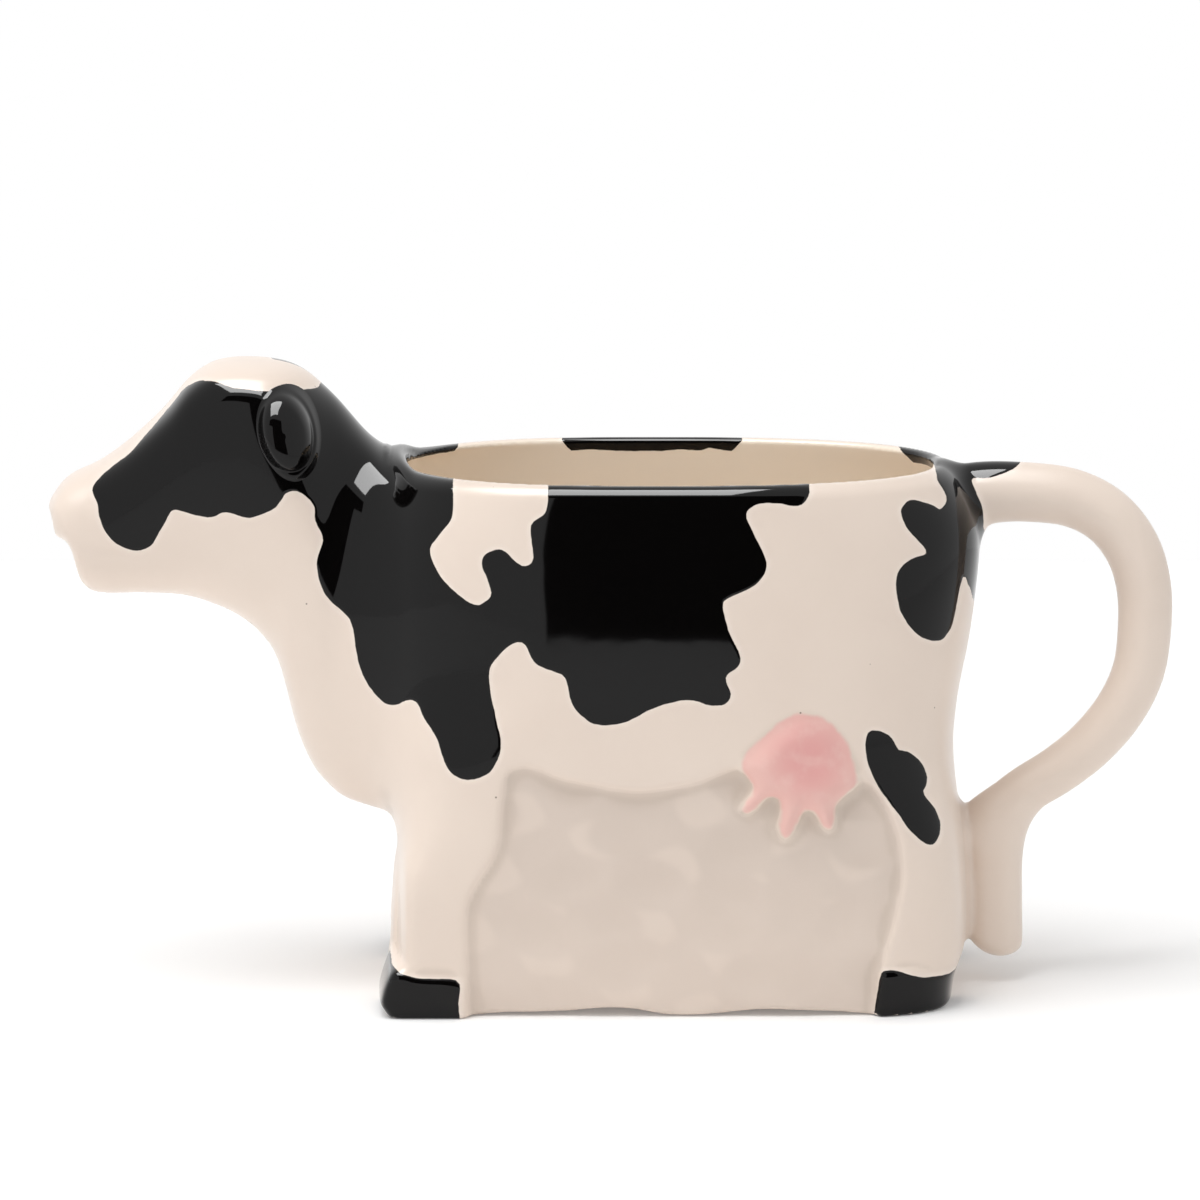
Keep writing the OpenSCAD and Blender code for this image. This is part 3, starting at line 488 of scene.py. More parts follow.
def clay(x, y, z, parts=False):
    """Distance from the surface of the clay, or from each of its plain forms."""
    read = sampler(x, z)

    def form(name):
        v = read(lattices[name])
        return (y * y - v[..., 0]) / np.sqrt(4 * y * y + v[..., 1] + 0.05)
    cow, vessel, head, tail, tuft = (form(n) for n in ("cow", "vessel", "head", "tail", "tuft"))
    tail = np.where(x > TAIL_CLAY_X, tail, FAR_OFF)
    tuft = np.where(x > TAIL_CLAY_X, tuft, FAR_OFF)
    rim = rim_height(x) + NECK_SLOPE * np.maximum(SEAT_X - x, 0)
    rim = rim + NECK_LIFT * np.exp(-((x - SEAT_X) / NECK_LIFT_W) ** 2)
    body = round_max(cow, z - rim, RIM_ROUND)
    if parts:
        return body, vessel, head
    brush = round_min(tail, tuft, BRUSH_FILLET)
    solid = round_min(body, brush, TAIL_FILLET)
    foot = curve(FOOT_LIFT, x) * ease((np.abs(y) - FOOT_LIFT_Y) / FOOT_LIFT_FADE)
    solid = round_max(solid, foot - z, FOOT_EDGE)
    well = round_min(vessel_well(x, z, vessel), head + WALL, NECK_WAY_JOIN)
    mouth = np.hypot(y, z - MOUTH_H) - MOUTH_D / 2
    mouth = np.maximum(mouth, x - (SEAT_X - HEAD_REACH + 3 * WALL))
    well = round_min(well, mouth, MOUTH_ROUND)
    before_panel = x - SEAT_X - curve(PANEL_LINE, z) + FRONT_BOW
    between_hooves = np.maximum(np.abs(y) - PANEL_HALF + 1, before_panel)
    between_hooves = np.maximum(between_hooves, z - HOOF_H * 1.6)
    solid = round_max(solid, -between_hooves, PANEL_CUT_ROUND)
    far_toe = np.where((y > 0) & (z < FAR_TOE_H), SEAT_X - FAR_TOE - x, -9)
    solid = round_max(solid, far_toe, TOE_CUT_ROUND)
    under = round_max(vessel + FOOT_RING, z - FOOT_RECESS, RECESS_ROUND)
    under = round_max(under, SEAT_X + LEG_BACK + FOOT_RING - x, RECESS_END)
    return round_max(round_max(solid, -well, LIP_ROUND), -under, RECESS_EDGE)


GRID_X, GRID_Y, GRID_LOW = 0.7, 0.9, -1.6
STEPS_FORE, STEPS_AFT, STEPS_SIDE, STEPS_UP = 90, 204, 43, 171
gx = SEAT_X + GRID_X * (np.arange(-STEPS_FORE, STEPS_AFT) + 0.5)
gy = GRID_Y * (np.arange(-STEPS_SIDE, STEPS_SIDE + 1) + 0.5)
gz = GRID_LOW + GRID_X * np.arange(STEPS_UP)
field = clay(gx[:, None, None], gy[None, :, None], gz[None, None, :]).astype(np.float32)


def skin_of(f, axes):
    """Quads over the zero level of a field on a box grid."""
    n = np.array(f.shape)
    cells = n - 1
    total = np.zeros((cells.prod(), 4))
    quads = []
    for a in range(3):
        lo = [slice(None)] * 3
        hi = [slice(None)] * 3
        lo[a], hi[a] = slice(0, -1), slice(1, None)
        f0, f1 = f[tuple(lo)], f[tuple(hi)]
        hit = np.argwhere((f0 < 0) != (f1 < 0))
        v0, v1 = f0[tuple(hit.T)], f1[tuple(hit.T)]
        t = v0 / (v0 - v1)
        at = np.stack([axes[b][hit[:, b]] for b in range(3)], -1)
        at[:, a] = mix(axes[a][hit[:, a]], axes[a][hit[:, a] + 1], t)
        b, c = (a + 1) % 3, (a + 2) % 3
        ok = (hit[:, b] > 0) & (hit[:, c] > 0) & (hit[:, b] < cells[b]) & (hit[:, c] < cells[c])
        hit, at, v0 = hit[ok], at[ok], v0[ok]
        ring = []
        for db, dc in ((0, 0), (-1, 0), (-1, -1), (0, -1)):
            cell = hit.copy()
            cell[:, b] += db
            cell[:, c] += dc
            flat = np.ravel_multi_index(tuple(cell.T), tuple(cells))
            ring.append(flat)
            for k in range(3):
                total[:, k] += np.bincount(flat, at[:, k], len(total))
            total[:, 3] += np.bincount(flat, minlength=len(total))
        ring = np.stack(ring, -1)
        ring[v0 > 0] = ring[v0 > 0][:, ::-1]
        quads.append(ring)
    used = np.where(total[:, 3] > 0)[0]
    index = np.full(len(total), -1)
    index[used] = np.arange(len(used))
    return total[used, :3] / total[used, 3:], index[np.concatenate(quads)]


CORNERS = np.array([[1, 1, 1], [1, -1, -1], [-1, 1, -1], [-1, -1, 1]])
LEAST_SLOPE = 0.2


def slope_of(function, p, reach=0.12):
    """Value and slope of a field at points."""
    vals = [function(*(p + reach * c).T) for c in CORNERS]
    grad = sum(v[:, None] * c for v, c in zip(vals, CORNERS)) / (4 * reach)
    return sum(vals) / 4, grad


def onto_skin(points, rounds, most):
    """Moves points onto the surface of the clay, in short steps."""
    for _ in range(rounds):
        value, grad = slope_of(clay, points)
        move = value[:, None] * grad / np.maximum((grad ** 2).sum(1), LEAST_SLOPE)[:, None]
        length = np.linalg.norm(move, axis=1, keepdims=True)
        points = points - move * np.minimum(1, most / np.maximum(length, 1e-9))
    return points


def skin_normals(points):
    grad = slope_of(clay, points)[1]
    return grad / np.linalg.norm(grad, axis=1, keepdims=True)


verts, quads = skin_of(field, (gx, gy, gz))
verts = onto_skin(verts, 3, 0.6)


# The unseen floor and wall inside the jug get cells of twice the size. The rim, the neck's joint and
# the mouth keep the fine ones.
def well_depth(x, y, z):
    """Distance from the hollow."""
    vessel, head = clay(x, y, z, parts=True)[1:]
    return np.minimum(vessel_well(x, z, vessel), head + WALL)


def merged(points, faces, places, where):
    """Joins the points that share a place, where that is asked for."""
    cell = np.round(places).astype(np.int64) + 10000
    key = (cell[:, 0] * 30000 + cell[:, 1]) * 30000 + cell[:, 2]
    alone = -1 - np.arange(len(points))
    group = np.unique(np.where(where, key, alone), return_inverse=True)[1]
    count = np.bincount(group)
    joined = np.stack([np.bincount(group, points[:, k]) / count for k in range(3)], -1)
    return joined, group[faces]


COARSE = 2 * np.array([GRID_X, GRID_Y, GRID_X])
NECK_FINE, RIM_FINE, SAME_PLACE = 3.0, 8.0, 0.05
cell_mid = (np.floor(verts / COARSE) + 0.5) * COARSE
plain = (well_depth(*verts.T) < 0.3) & (np.abs(cell_mid[:, 0] - SEAT_X) > NECK_FINE)
plain &= cell_mid[:, 2] < RIM_H - RIM_FINE
plain &= cell_mid[:, 0] > SEAT_X - HEAD_REACH + 3 * WALL
verts, quads = merged(verts, quads, np.floor(verts / COARSE), plain)
verts = onto_skin(verts, 2, math.inf)
verts, quads = merged(verts, quads, verts / SAME_PLACE, True)
normals = skin_normals(verts)
same = np.stack([quads[:, k] == quads[:, k - 1] for k in range(4)], -1)
quads = quads[(same.sum(1) < 2) & (quads[:, 0] != quads[:, 2]) & (quads[:, 1] != quads[:, 3])]


# Each quad of the fired skin belongs to one of six pieces, because the ears are made on their own.
# The borders between the pieces are moved onto the joint lines of the damp clay.
PIECES = ["body_vessel", "head_spout", "tail_handle", "tail_tuft", "left_udder", "right_udder"]
BODY, HEAD, TAIL, TUFT, LEFT_PAD, RIGHT_PAD = range(len(PIECES))
SEAT_LOW, ROOT_BORDER, PAD_Y, ROOT_X, TAIL_LOW = BRISKET_H - 0.8, 1.0, 20.0, 56.0, 2.0
tip = np.searchsorted(tail_t, TAIL_END - 2)
TAIL_TIP = np.array([tail_x[tip], tail_z[tip]])
TAIL_AIM = TAIL_TIP - np.array([tail_x[tip - 20], tail_z[tip - 20]])
TAIL_AIM /= np.linalg.norm(TAIL_AIM)


def at_seat(x, y, z):
    return np.maximum(x - SEAT_X, SEAT_LOW - z)


def at_udder(x, y, z):
    return -sampler(x, z)(udder_in)


def at_root(x, y, z):
    return ROOT_BORDER - clay(x, y, z, parts=True)[0]


def at_tuft(x, y, z):
    return -((x - TAIL_TIP[0]) * TAIL_AIM[0] + (z - TAIL_TIP[1]) * TAIL_AIM[1])


centre = verts[quads].mean(1)
outer_face = (well_depth(*verts.T) > 2)[quads].all(1)
label = np.where(at_seat(*centre.T) < 0, HEAD, BODY)
on_pad = (at_udder(*centre.T) < 0) & outer_face & (np.abs(centre[:, 1]) > PAD_Y)
label[on_pad] = np.where(centre[:, 1] < 0, LEFT_PAD, RIGHT_PAD)[on_pad]
on_tail = (at_root(*centre.T) < 0) & (centre[:, 0] > ROOT_X) & (centre[:, 2] > TAIL_LOW)
label[on_tail] = np.where(at_tuft(*centre.T) < 0, TUFT, TAIL)[on_tail]
lowest = np.full(len(verts), len(PIECES))
highest = np.full(len(verts), -1)
for k in range(4):
    np.minimum.at(lowest, quads[:, k], label)
    np.maximum.at(highest, quads[:, k], label)
for joint, first, second in (
        (at_seat, BODY, HEAD), (at_udder, BODY, LEFT_PAD), (at_udder, BODY, RIGHT_PAD),
        (at_root, BODY, TAIL), (at_root, BODY, TUFT), (at_tuft, TAIL, TUFT)):
    rows = np.where((lowest == first) & (highest == second))[0]
    for _ in range(3):
        p = verts[rows]
        f, df = slope_of(clay, p)
        g, dg = slope_of(joint, p)
        ff, fg, gg = (df * df).sum(1), (df * dg).sum(1), (dg * dg).sum(1)
        det = np.maximum(ff * gg - fg * fg, 1e-3)
        a, b = (f * gg - g * fg) / det, (g * ff - f * fg) / det
        step = a[:, None] * df + b[:, None] * dg
        far = np.linalg.norm(step, axis=1, keepdims=True)
        verts[rows] = p - step * np.minimum(1, 0.5 / np.maximum(far, 1e-9))
    normals[rows] = skin_normals(verts[rows])


# Underglaze paint: black patches, hooves and muzzle are brushed by hand, in outlines measured
# in the photograph's frame. The right flank carries the same kind of patches, shifted along.
PATCHES = {
    "head_and_shoulder": [
        (93, 487), (97, 503), (101, 522), (111, 539), (124, 548), (140, 551), (153, 543),
        (166, 520), (176, 510), (208, 518), (225, 512), (249, 518), (272, 510), (282, 499),
        (285, 494), (296, 491), (306, 496), (314, 506), (315, 520), (323, 539), (317, 561),
        (321, 586), (331, 602), (343, 612), (352, 625), (358, 661), (368, 684), (381, 701),
        (394, 705), (414, 700), (425, 720), (437, 739), (448, 769), (468, 780), (491, 771),
        (501, 746), (495, 714), (489, 673), (501, 653), (513, 644), (525, 644), (535, 663),
        (552, 671), (566, 679), (572, 704), (589, 722), (609, 725), (629, 721), (654, 708),
        (687, 700), (707, 705), (723, 705), (731, 695), (726, 677), (738, 667), (740, 655),
        (729, 632), (723, 606), (729, 598), (752, 587), (764, 575), (766, 561), (754, 534),
        (746, 518), (750, 508), (764, 503), (780, 504), (801, 505), (812, 488), (815, 470),
        (760, 462), (600, 462), (548, 468), (548, 487), (546, 512), (531, 526), (533, 559),
        (521, 566), (503, 550), (487, 553), (482, 565), (491, 591), (485, 602), (472, 604),
        (442, 579), (430, 551), (438, 536), (452, 518), (453, 494), (450, 470), (440, 420),
        (380, 380), (340, 370), (322, 381), (318, 387), (300, 390), (262, 391), (235, 388),
        (215, 382), (200, 381), (185, 388), (175, 400), (150, 430), (128, 455), (110, 468)],
    "rump": [
        (936, 470), (936, 479), (947, 498), (940, 509), (931, 504), (911, 500), (903, 506),
        (901, 514), (907, 528), (919, 542), (926, 553), (911, 559), (899, 571), (896, 587),
        (901, 612), (917, 634), (938, 641), (950, 630), (956, 609), (959, 592), (964, 576),
        (970, 589), (976, 602), (990, 590), (992, 550), (984, 531), (983, 512), (977, 494),
        (972, 479), (986, 478), (1002, 474), (1013, 469), (1021, 459), (1010, 440), (960, 440)],
    "hind_leg": [
        (869, 732), (879, 731), (890, 736), (896, 745), (899, 750), (909, 752), (920, 761),
        (927, 775), (926, 785), (923, 793), (933, 806), (940, 821), (939, 835), (933, 845),
        (922, 841), (909, 829), (894, 808), (879, 788), (870, 769), (866, 752), (866, 741)],
    "fore_hoof": [
        (370, 960), (391, 965), (400, 973), (412, 977), (435, 979), (455, 980), (460, 986),
        (458, 1005), (457, 1030), (410, 1040), (360, 1030), (350, 990)],
    "hind_hoof": [
        (881, 974), (886, 971), (898, 971), (920, 977), (950, 979), (975, 978), (985, 1000),
        (970, 1035), (920, 1045), (873, 1035), (874, 1012), (878, 990)],
}
FAR_SHIFT = [[340, 0], [459, -9], [567, -19], [660, 20], [760, 53], [914, 22], [1000, 0]]
SHIFT_LOW, SHIFT_RISE = 45.0, 15.0
WAVE_X, WAVE_X_LEN, WAVE_Z, WAVE_Z_LEN = 9.0, 37.0, 12.0, 53.0
UNPAINTED = -20.0
well_at = well_depth(*verts.T)
inner = well_at < 2
x_at, y_at, z_at = verts.T
rim_top = rim_height(x_at)

# The paint of the flank goes over the rim at the same place, and stays on the sides of the hooves.
RIM_EDGE, RIM_LAP, RIM_LAP_FORE = 1.2, 2.3, 0.45
HOOF_PAINT_H, HOOF_SIDE_Y, FORE_APART, HIND_APART = 14.0, 29.0, 16.8, 14.0
near_rim = (x_at > SEAT_X) & (x_at < RUMP_X - RIM_TUCK) & (inner | (z_at > rim_top - RIM_EDGE))
paint_at = verts.copy()
rim_half = sampler(x_at, rim_top - RIM_EDGE)(lattices["cow"][..., 0])
rim_half = np.sqrt(np.maximum(rim_half, 1))
paint_at[near_rim, 1] = (np.where(y_at < 0, -1, 1) * rim_half)[near_rim]
paint_at[near_rim, 2] = (rim_top - RIM_EDGE)[near_rim]
low = (z_at < HOOF_PAINT_H) & ~inner
side_y = np.abs(paint_at[:, 1])
side_y = np.where(low, np.maximum(side_y, HOOF_SIDE_Y), side_y)
px = to_pixels(paint_at[:, 0], -side_y, paint_at[:, 2])
flat_px = px.copy()
away = np.where(near_rim, ease((y_at + 1.5) / 3), ease((y_at - 3) / 16))
shift = ease((z_at - SHIFT_LOW) / SHIFT_RISE) * curve(FAR_SHIFT, px[:, 0])
px[:, 0] += away * (shift + WAVE_X * np.sin(px[:, 1] / WAVE_X_LEN + 1.3))
below_rim = ease((rim_top - paint_at[:, 2] - 4) / 12)
px[:, 1] += away * WAVE_Z * np.sin(px[:, 0] / WAVE_Z_LEN + 0.4) * below_rim
black = np.full(len(verts), UNPAINTED)
for outline in PATCHES.values():
    line = smooth_outline(outline, 4)
    lo, hi = line.min(0) - 12, line.max(0) + 12
    rows = np.where(((px > lo) & (px < hi)).all(1))[0]
    patch = PIXEL_SIZE * depth_inside(line, px[rows, 0], px[rows, 1])
    black[rows] = np.maximum(black[rows], patch)

# A small black patch on the far side of the poll shows over the top of the head.
POLL_PATCH = [(258, 400), (266, 372), (276, 357), (294, 356), (304, 368), (314, 400)]
POLL_PIXEL, POLL_PIXELS_ROUND = [286, 380], [40, 40]
POLL_X, POLL_BOW, POLL_START_Y, POLL_SLANT = -58.5, 0.12, 1.0, 0.8
on_poll = (y_at > 0) & (np.abs(flat_px - POLL_PIXEL) < POLL_PIXELS_ROUND).all(1)
rows = np.where(on_poll)[0]
past = POLL_SLANT * (y_at[rows] - POLL_START_Y - POLL_BOW * (x_at[rows] - POLL_X) ** 2)
patch = smooth_outline(POLL_PATCH, 4)
patch = PIXEL_SIZE * depth_inside(patch, flat_px[rows, 0], flat_px[rows, 1])
black[rows] = np.maximum(black[rows], np.minimum(patch, past))
apart = np.abs(y_at) - np.where(x_at < 0, FORE_APART, HIND_APART)
black[low] = np.minimum(black, apart)[low]
drop = rim_top - z_at
lap = RIM_LAP * mix(RIM_LAP_FORE, 1, ease((x_at + 28) / 10))
lap *= 1 + 0.06 * np.sin(x_at * 0.31) + 0.03 * np.sin(x_at * 0.83 + 1)
over_rim = np.minimum(black - 0.9 * np.maximum(drop - 0.3, 0), lap - drop)
black = np.where(inner, over_rim, black)
black[(x_at < SEAT_X) & inner] = UNPAINTED
black = np.where(z_at < 0.5, np.minimum(black, 0.3 - np.abs(z_at)), black)

# Pink is brushed over the udder and deepest in its middle. The sunk ground has a thin tan wash that
# stays in the dents and is fainter towards the foot; the lighter streaks it leaves on some dent
# ridges are partly thin glaze and partly painted highlight. The hollows of the flank get a darker
# tan, partly pooled glaze and partly painted shade. The inside has the glaze alone, in a cream
# painted lighter than the outer white as painted light for the dim hollow.
BLUSH_X, BLUSH_H, BLUSH_R = 34.5, 47.5, 9.0
FLANK_Y, PINK_IN_LOW, PINK_IN_HIGH, PINK_TOP_H = 12.0, 0.5, 0.1, 40.0
CREASE_REACH, CREASE_DEPTH = 1.2, 0.16
read = sampler(x_at, z_at)
flank = np.where(inner | (np.abs(y_at) < FLANK_Y), 0, 1)
black = np.where(flank > 0, np.minimum(black, -1 - read(udder_in)), black)
pink_edge = mix(PINK_IN_LOW, PINK_IN_HIGH, ease((z_at - PINK_TOP_H) / 7))
pink = np.where(flank > 0, read(udder_in) - pink_edge, UNPAINTED)
blush = ease(1.15 - np.hypot((x_at - BLUSH_X) / BLUSH_R, (z_at - BLUSH_H) / BLUSH_R))
wash = flank * read(in_ground) * (1 - read(on_udder)) * mix(0.7, 1, ease((z_at - 6) / 28))
# Lighter streaks on some dent ridges: partly thin glaze, partly painted highlight.
thin_glaze_and_glint = np.sin(x_at * 0.29 + z_at * 0.17) * np.sin(z_at * 0.33 - x_at * 0.11)
wash *= 1 - 0.5 * ease(thin_glaze_and_glint * 2) * ease(read(dents) / 0.25)
# The inside is the bare glaze, coloured lighter than the outer white as painted light for the dim
# hollow.
inside = 1 - ease((well_at - 0.2) / 1.2)
full_half = np.sqrt(np.maximum(lattices["cow"][..., 0], 0))
# Painted shade, partly pooled glaze: the hollows of the flank darken by how deep they are.
crease = read(soften(full_half, CREASE_REACH) - full_half) / CREASE_DEPTH
crease = flank * np.clip(crease, -1, 1)
PAINTS = {"black": black, "pink": pink, "blush": blush, "wash": wash, "crease": crease,
          "inside": inside}


# Glazed earthenware: the cast white body is painted, dipped in a clear glaze and fired to a smooth
# gloss. To the eye the white is warm and a little clouded with fine brown specks, the tan ground is
# shinier, and the black lies slightly raised, with wavy edges, and mirrors the room.
# INSIDE_LIT_CREAM is lighter than the outer white: painted light for the inside of the hollow.
CLAY_WHITE, CLAY_CREAM, PAINT_HALO, INSIDE_LIT_CREAM = "#E9DACD", "#E4D4C7", "#EFE3D8", "#FEF1E0"
GROUND_TAN, GROUND_DEEP, CREASE_TAN, SPECK_BROWN = "#DCCDC1", "#D4C5B9", "#C6B6A8", "#6E5C4E"
UDDER_PINK, UDDER_DEEP, UDDER_PALE, PAINT_BLACK = "#E9BDB4", "#E2A6A2", "#EBC6BD", "#070606"
BRUSH_WAVE, CLAY_CLOUD, PINK_STREAK, SPECK_GAP, GLAZE_PEEL = 2.8, 14.0, 3.5, 9.0, 6.0
SPECK_R, SPECK_SOFT_R, PAINT_EDGE, PAINT_RISE = 0.012, 0.026, 0.06, 0.05
WHITE_ROUGH, GROUND_ROUGH, BLACK_ROUGH, GLAZE_IOR = 0.28, 0.12, 0.05, 1.335


def linear(hex_colour):
    c = np.array([int(hex_colour[i:i + 2], 16) / 255 for i in (1, 3, 5)])
    return (*np.where(c <= 0.04045, c / 12.92, ((c + 0.055) / 1.055) ** 2.4), 1)


def node(tree, kind, links=(), **settings):
    """Adds a node with its settings and links."""
    n = tree.nodes.new(kind)
    for key, value in settings.items():
        if key.startswith("in_"):
            n.inputs[int(key[3:])].default_value = value
        else:
            setattr(n, key, value)
    for socket, source in links:
        tree.links.new(source, n.inputs[socket])
    return n


def glazed_earthenware(name):
    material = bpy.data.materials.new(name)
    material.use_nodes = True
    tree = material.node_tree
    shader = tree.nodes["Principled BSDF"]
    place = node(tree, "ShaderNodeTexCoord").outputs["Object"]
    paint = {a: node(tree, "ShaderNodeAttribute", attribute_name=a).outputs["Fac"] for a in PAINTS}

    def blend(fac, a, b):
        m = node(tree, "ShaderNodeMix", data_type="RGBA")
        for i, v in ((0, fac), (6, a), (7, b)):
            if isinstance(v, str):
                m.inputs[i].default_value = linear(v)
            else:
                tree.links.new(v, m.inputs[i])
        return m.outputs[2]

    def ramp(source, low, high, top=1.0):
        return node(tree, "ShaderNodeMapRange", [(0, source)], interpolation_type="SMOOTHSTEP",
                    in_1=low, in_2=high, in_4=top).outputs[0]

    def mottle(size, detail):
        return node(tree, "ShaderNodeTexNoise", [(0, place)], in_2=1 / (size * MM),
                    in_3=detail).outputs[0]
    wobble = mottle(BRUSH_WAVE, 2.0)
    edge = node(tree, "ShaderNodeMath", [(0, wobble)], operation="MULTIPLY_ADD",
                in_1=0.44, in_2=-0.22).outputs[0]
    black_at = node(tree, "ShaderNodeMath", [(0, paint["black"]), (1, edge)],
                    operation="ADD").outputs[0]
    pink_at = node(tree, "ShaderNodeMath", [(0, wobble), (2, paint["pink"])],
                   operation="MULTIPLY_ADD", in_1=1.2).outputs[0]
    cloud = mottle(CLAY_CLOUD, 3.0)
    white = blend(cloud, CLAY_WHITE, CLAY_CREAM)
    white = blend(ramp(black_at, -1.1, -0.2, 0.5), white, PAINT_HALO)
    # Painted light: the inside gets a cream lighter than the outer white; its warmth is the bare
    # glaze.
    white = blend(paint["inside"], white, INSIDE_LIT_CREAM)
    ground = blend(cloud, GROUND_TAN, GROUND_DEEP)
    colour = blend(paint["wash"], white, ground)
    # Darker tan in the hollows: partly pooled glaze, partly painted shade.
    colour = blend(ramp(paint["crease"], 0.1, 1.0, 0.35), colour, CREASE_TAN)
    tone = blend(paint["blush"], UDDER_PINK, UDDER_DEEP)
    tone = blend(ramp(mottle(PINK_STREAK, 3.0), 0.45, 0.75, 0.45), tone, UDDER_PALE)
    colour = blend(ramp(pink_at, 0.2, 1.1), colour, tone)
    speck = node(tree, "ShaderNodeTexVoronoi", [(0, place)], in_2=1 / (SPECK_GAP * MM))
    speck = ramp(speck.outputs["Distance"], SPECK_SOFT_R, SPECK_R, 0.8)
    colour = blend(speck, colour, SPECK_BROWN)
    colour = blend(ramp(black_at, -PAINT_EDGE, PAINT_EDGE), colour, PAINT_BLACK)
    tree.links.new(colour, shader.inputs["Base Color"])
    raised = ramp(black_at, -0.25, 0.5)
    height = node(tree, "ShaderNodeMath", [(0, mottle(GLAZE_PEEL, 1.0)), (2, raised)],
                  operation="MULTIPLY_ADD", in_1=0.3).outputs[0]
    bump = node(tree, "ShaderNodeBump", [("Height", height)], in_0=1.0, in_1=PAINT_RISE * MM)
    tree.links.new(bump.outputs[0], shader.inputs["Normal"])
    soft = node(tree, "ShaderNodeMapRange", [(0, paint["wash"])], in_1=0.2, in_2=0.7,
                in_3=WHITE_ROUGH, in_4=GROUND_ROUGH)
    sheen = node(tree, "ShaderNodeMapRange", [(0, black_at), (3, soft.outputs[0])],
                 in_1=-PAINT_EDGE, in_2=PAINT_EDGE, in_4=BLACK_ROUGH)
    tree.links.new(sheen.outputs[0], shader.inputs["Roughness"])
    shader.inputs["IOR"].default_value = GLAZE_IOR
    return material


glaze = glazed_earthenware("glazed_earthenware")


# The six pieces of the skin: each takes its share of the quads and of the paint, and its open edges
# are closed with flat clay faces where the potter stuck it on.
def brush_on(mesh, name, values):
    layer = mesh.attributes.new(name, "FLOAT", "POINT")
    layer.data.foreach_set("value", values.astype(np.float32))


def glazed_piece(part, mesh, point_normals=None):
    """Gives a finished mesh its glaze and hands it to the frame in place of its solid."""
    mesh.polygons.foreach_set("use_smooth", np.ones(len(mesh.polygons), bool))
    if point_normals is not None:
        mesh.normals_split_custom_set_from_vertices(point_normals)
    mesh.materials.append(glaze)
    obj = bpy.data.objects.new(part + "_glazed", mesh)
    bpy.context.scene.collection.objects.link(obj)
    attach(obj, "root")
    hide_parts(part)


def open_loops(bm):
    """The open edges of a mesh, one list for each hole, always in the same order."""
    bm.edges.index_update()
    loops = []
    left = {e.index: e for e in bm.edges if e.is_boundary}
    while left:
        loop, front = [], [left[min(left)]]
        while front:
            e = front.pop()
            if left.pop(e.index, None) is not None:
                loop.append(e)
                front += [n for v in e.verts for n in v.link_edges if n.index in left]
        loops.append(sorted(loop, key=lambda edge: edge.index))
    return loops


SEAT_SLACK = 0.2
for number, piece in enumerate(PIECES):
    mine = quads[label == number]
    rows, local = np.unique(mine, return_inverse=True)
    local = local.reshape(mine.shape)
    mesh = bpy.data.meshes.new(piece + "_glazed")
    faces = [list(dict.fromkeys(f)) for f in local.tolist()]
    mesh.from_pydata(verts[rows] * MM, [], faces)
    for name, values in PAINTS.items():
        brush_on(mesh, name, values[rows])
    bm = bmesh.new()
    bm.from_mesh(mesh)
    loops = open_loops(bm)
    seat = [e for loop in loops for e in loop
            if all(abs(v.co.x / MM - SEAT_X) < SEAT_SLACK for v in e.verts)]
    loops = [loop for loop in loops if not set(loop) & set(seat)] + ([seat] if seat else [])
    for loop in loops:
        points = np.array([v.co for e in loop for v in e.verts])
        flat = np.linalg.svd(points - points.mean(0))[2][2]
        bmesh.ops.triangle_fill(bm, use_beauty=True, edges=loop, normal=flat)
    bmesh.ops.recalc_face_normals(bm, faces=bm.faces)
    bm.to_mesh(mesh)
    bm.free()
    glazed_piece(piece, mesh, normals[rows])


# Each ear is a small domed oval of the same clay, pressed in a little mould and stuck on the side of
# the head with slip. It is dipped black, and a socket line runs along its lower rear edge.
EAR_X, EAR_H, EAR_LEN, EAR_W = SEAT_X - 17.9, POLL_H - 11.0, 15.0, 9.8
EAR_LEAN, EAR_SOCKET_TURN = math.radians(14), math.radians(30)
EAR_DOME = [[0, 3.4], [0.3, 3.2], [0.55, 2.65], [0.75, 1.85], [0.86, 1.15], [0.92, 0.6], [0.98, 0.2],
            [1.05, 0.0], [1.12, -0.2], [1.3, -0.6]]
EAR_SOCKET = [[0, 3.4], [0.3, 3.25], [0.55, 2.8], [0.75, 2.15], [0.85, 1.5], [0.905, 0.55],
              [0.95, 0.6], [1.0, 0.75], [1.06, 0.55], [1.14, 0.1], [1.2, -0.1], [1.3, -0.6]]
EAR_STEPS, EAR_TURNS, EAR_SKIRT = 48, 120, 1.3
EAR_BED, EAR_PROBE, EAR_PAINT = 1.6, 2.0, 3.0
ear_r = np.linspace(0, EAR_SKIRT, EAR_STEPS)[1:, None]
ear_turn = np.linspace(0, 2 * math.pi, EAR_TURNS, endpoint=False)[None, :]
lean = np.array([[math.cos(EAR_LEAN), -math.sin(EAR_LEAN)],
                 [math.sin(EAR_LEAN), math.cos(EAR_LEAN)]])
ear_flat = [EAR_W / 2 * ear_r * np.cos(ear_turn), EAR_LEN / 2 * ear_r * np.sin(ear_turn)]
ear_flat = np.stack(ear_flat, -1) @ lean.T
ear_at = np.concatenate([[[0.0, 0.0]], ear_flat.reshape(-1, 2)]) + [EAR_X, EAR_H]
ear_far = np.concatenate([[0], (ear_r + 0 * ear_turn).ravel()])
ear_way = np.concatenate([[0], (ear_turn + 0 * ear_r).ravel()])
here = sampler(ear_at[:, 0], ear_at[:, 1])(full_half)
probe_x = EAR_X + EAR_PROBE * np.array([0, 1, -1, 0, 0])
probe_z = EAR_H + EAR_PROBE * np.array([0, 0, 0, 1, -1])
seat_y, fore_y, back_y, over_y, under_y = sampler(probe_x, probe_z)(full_half)
plane = seat_y + (ear_at[:, 0] - EAR_X) * (fore_y - back_y) / (2 * EAR_PROBE)
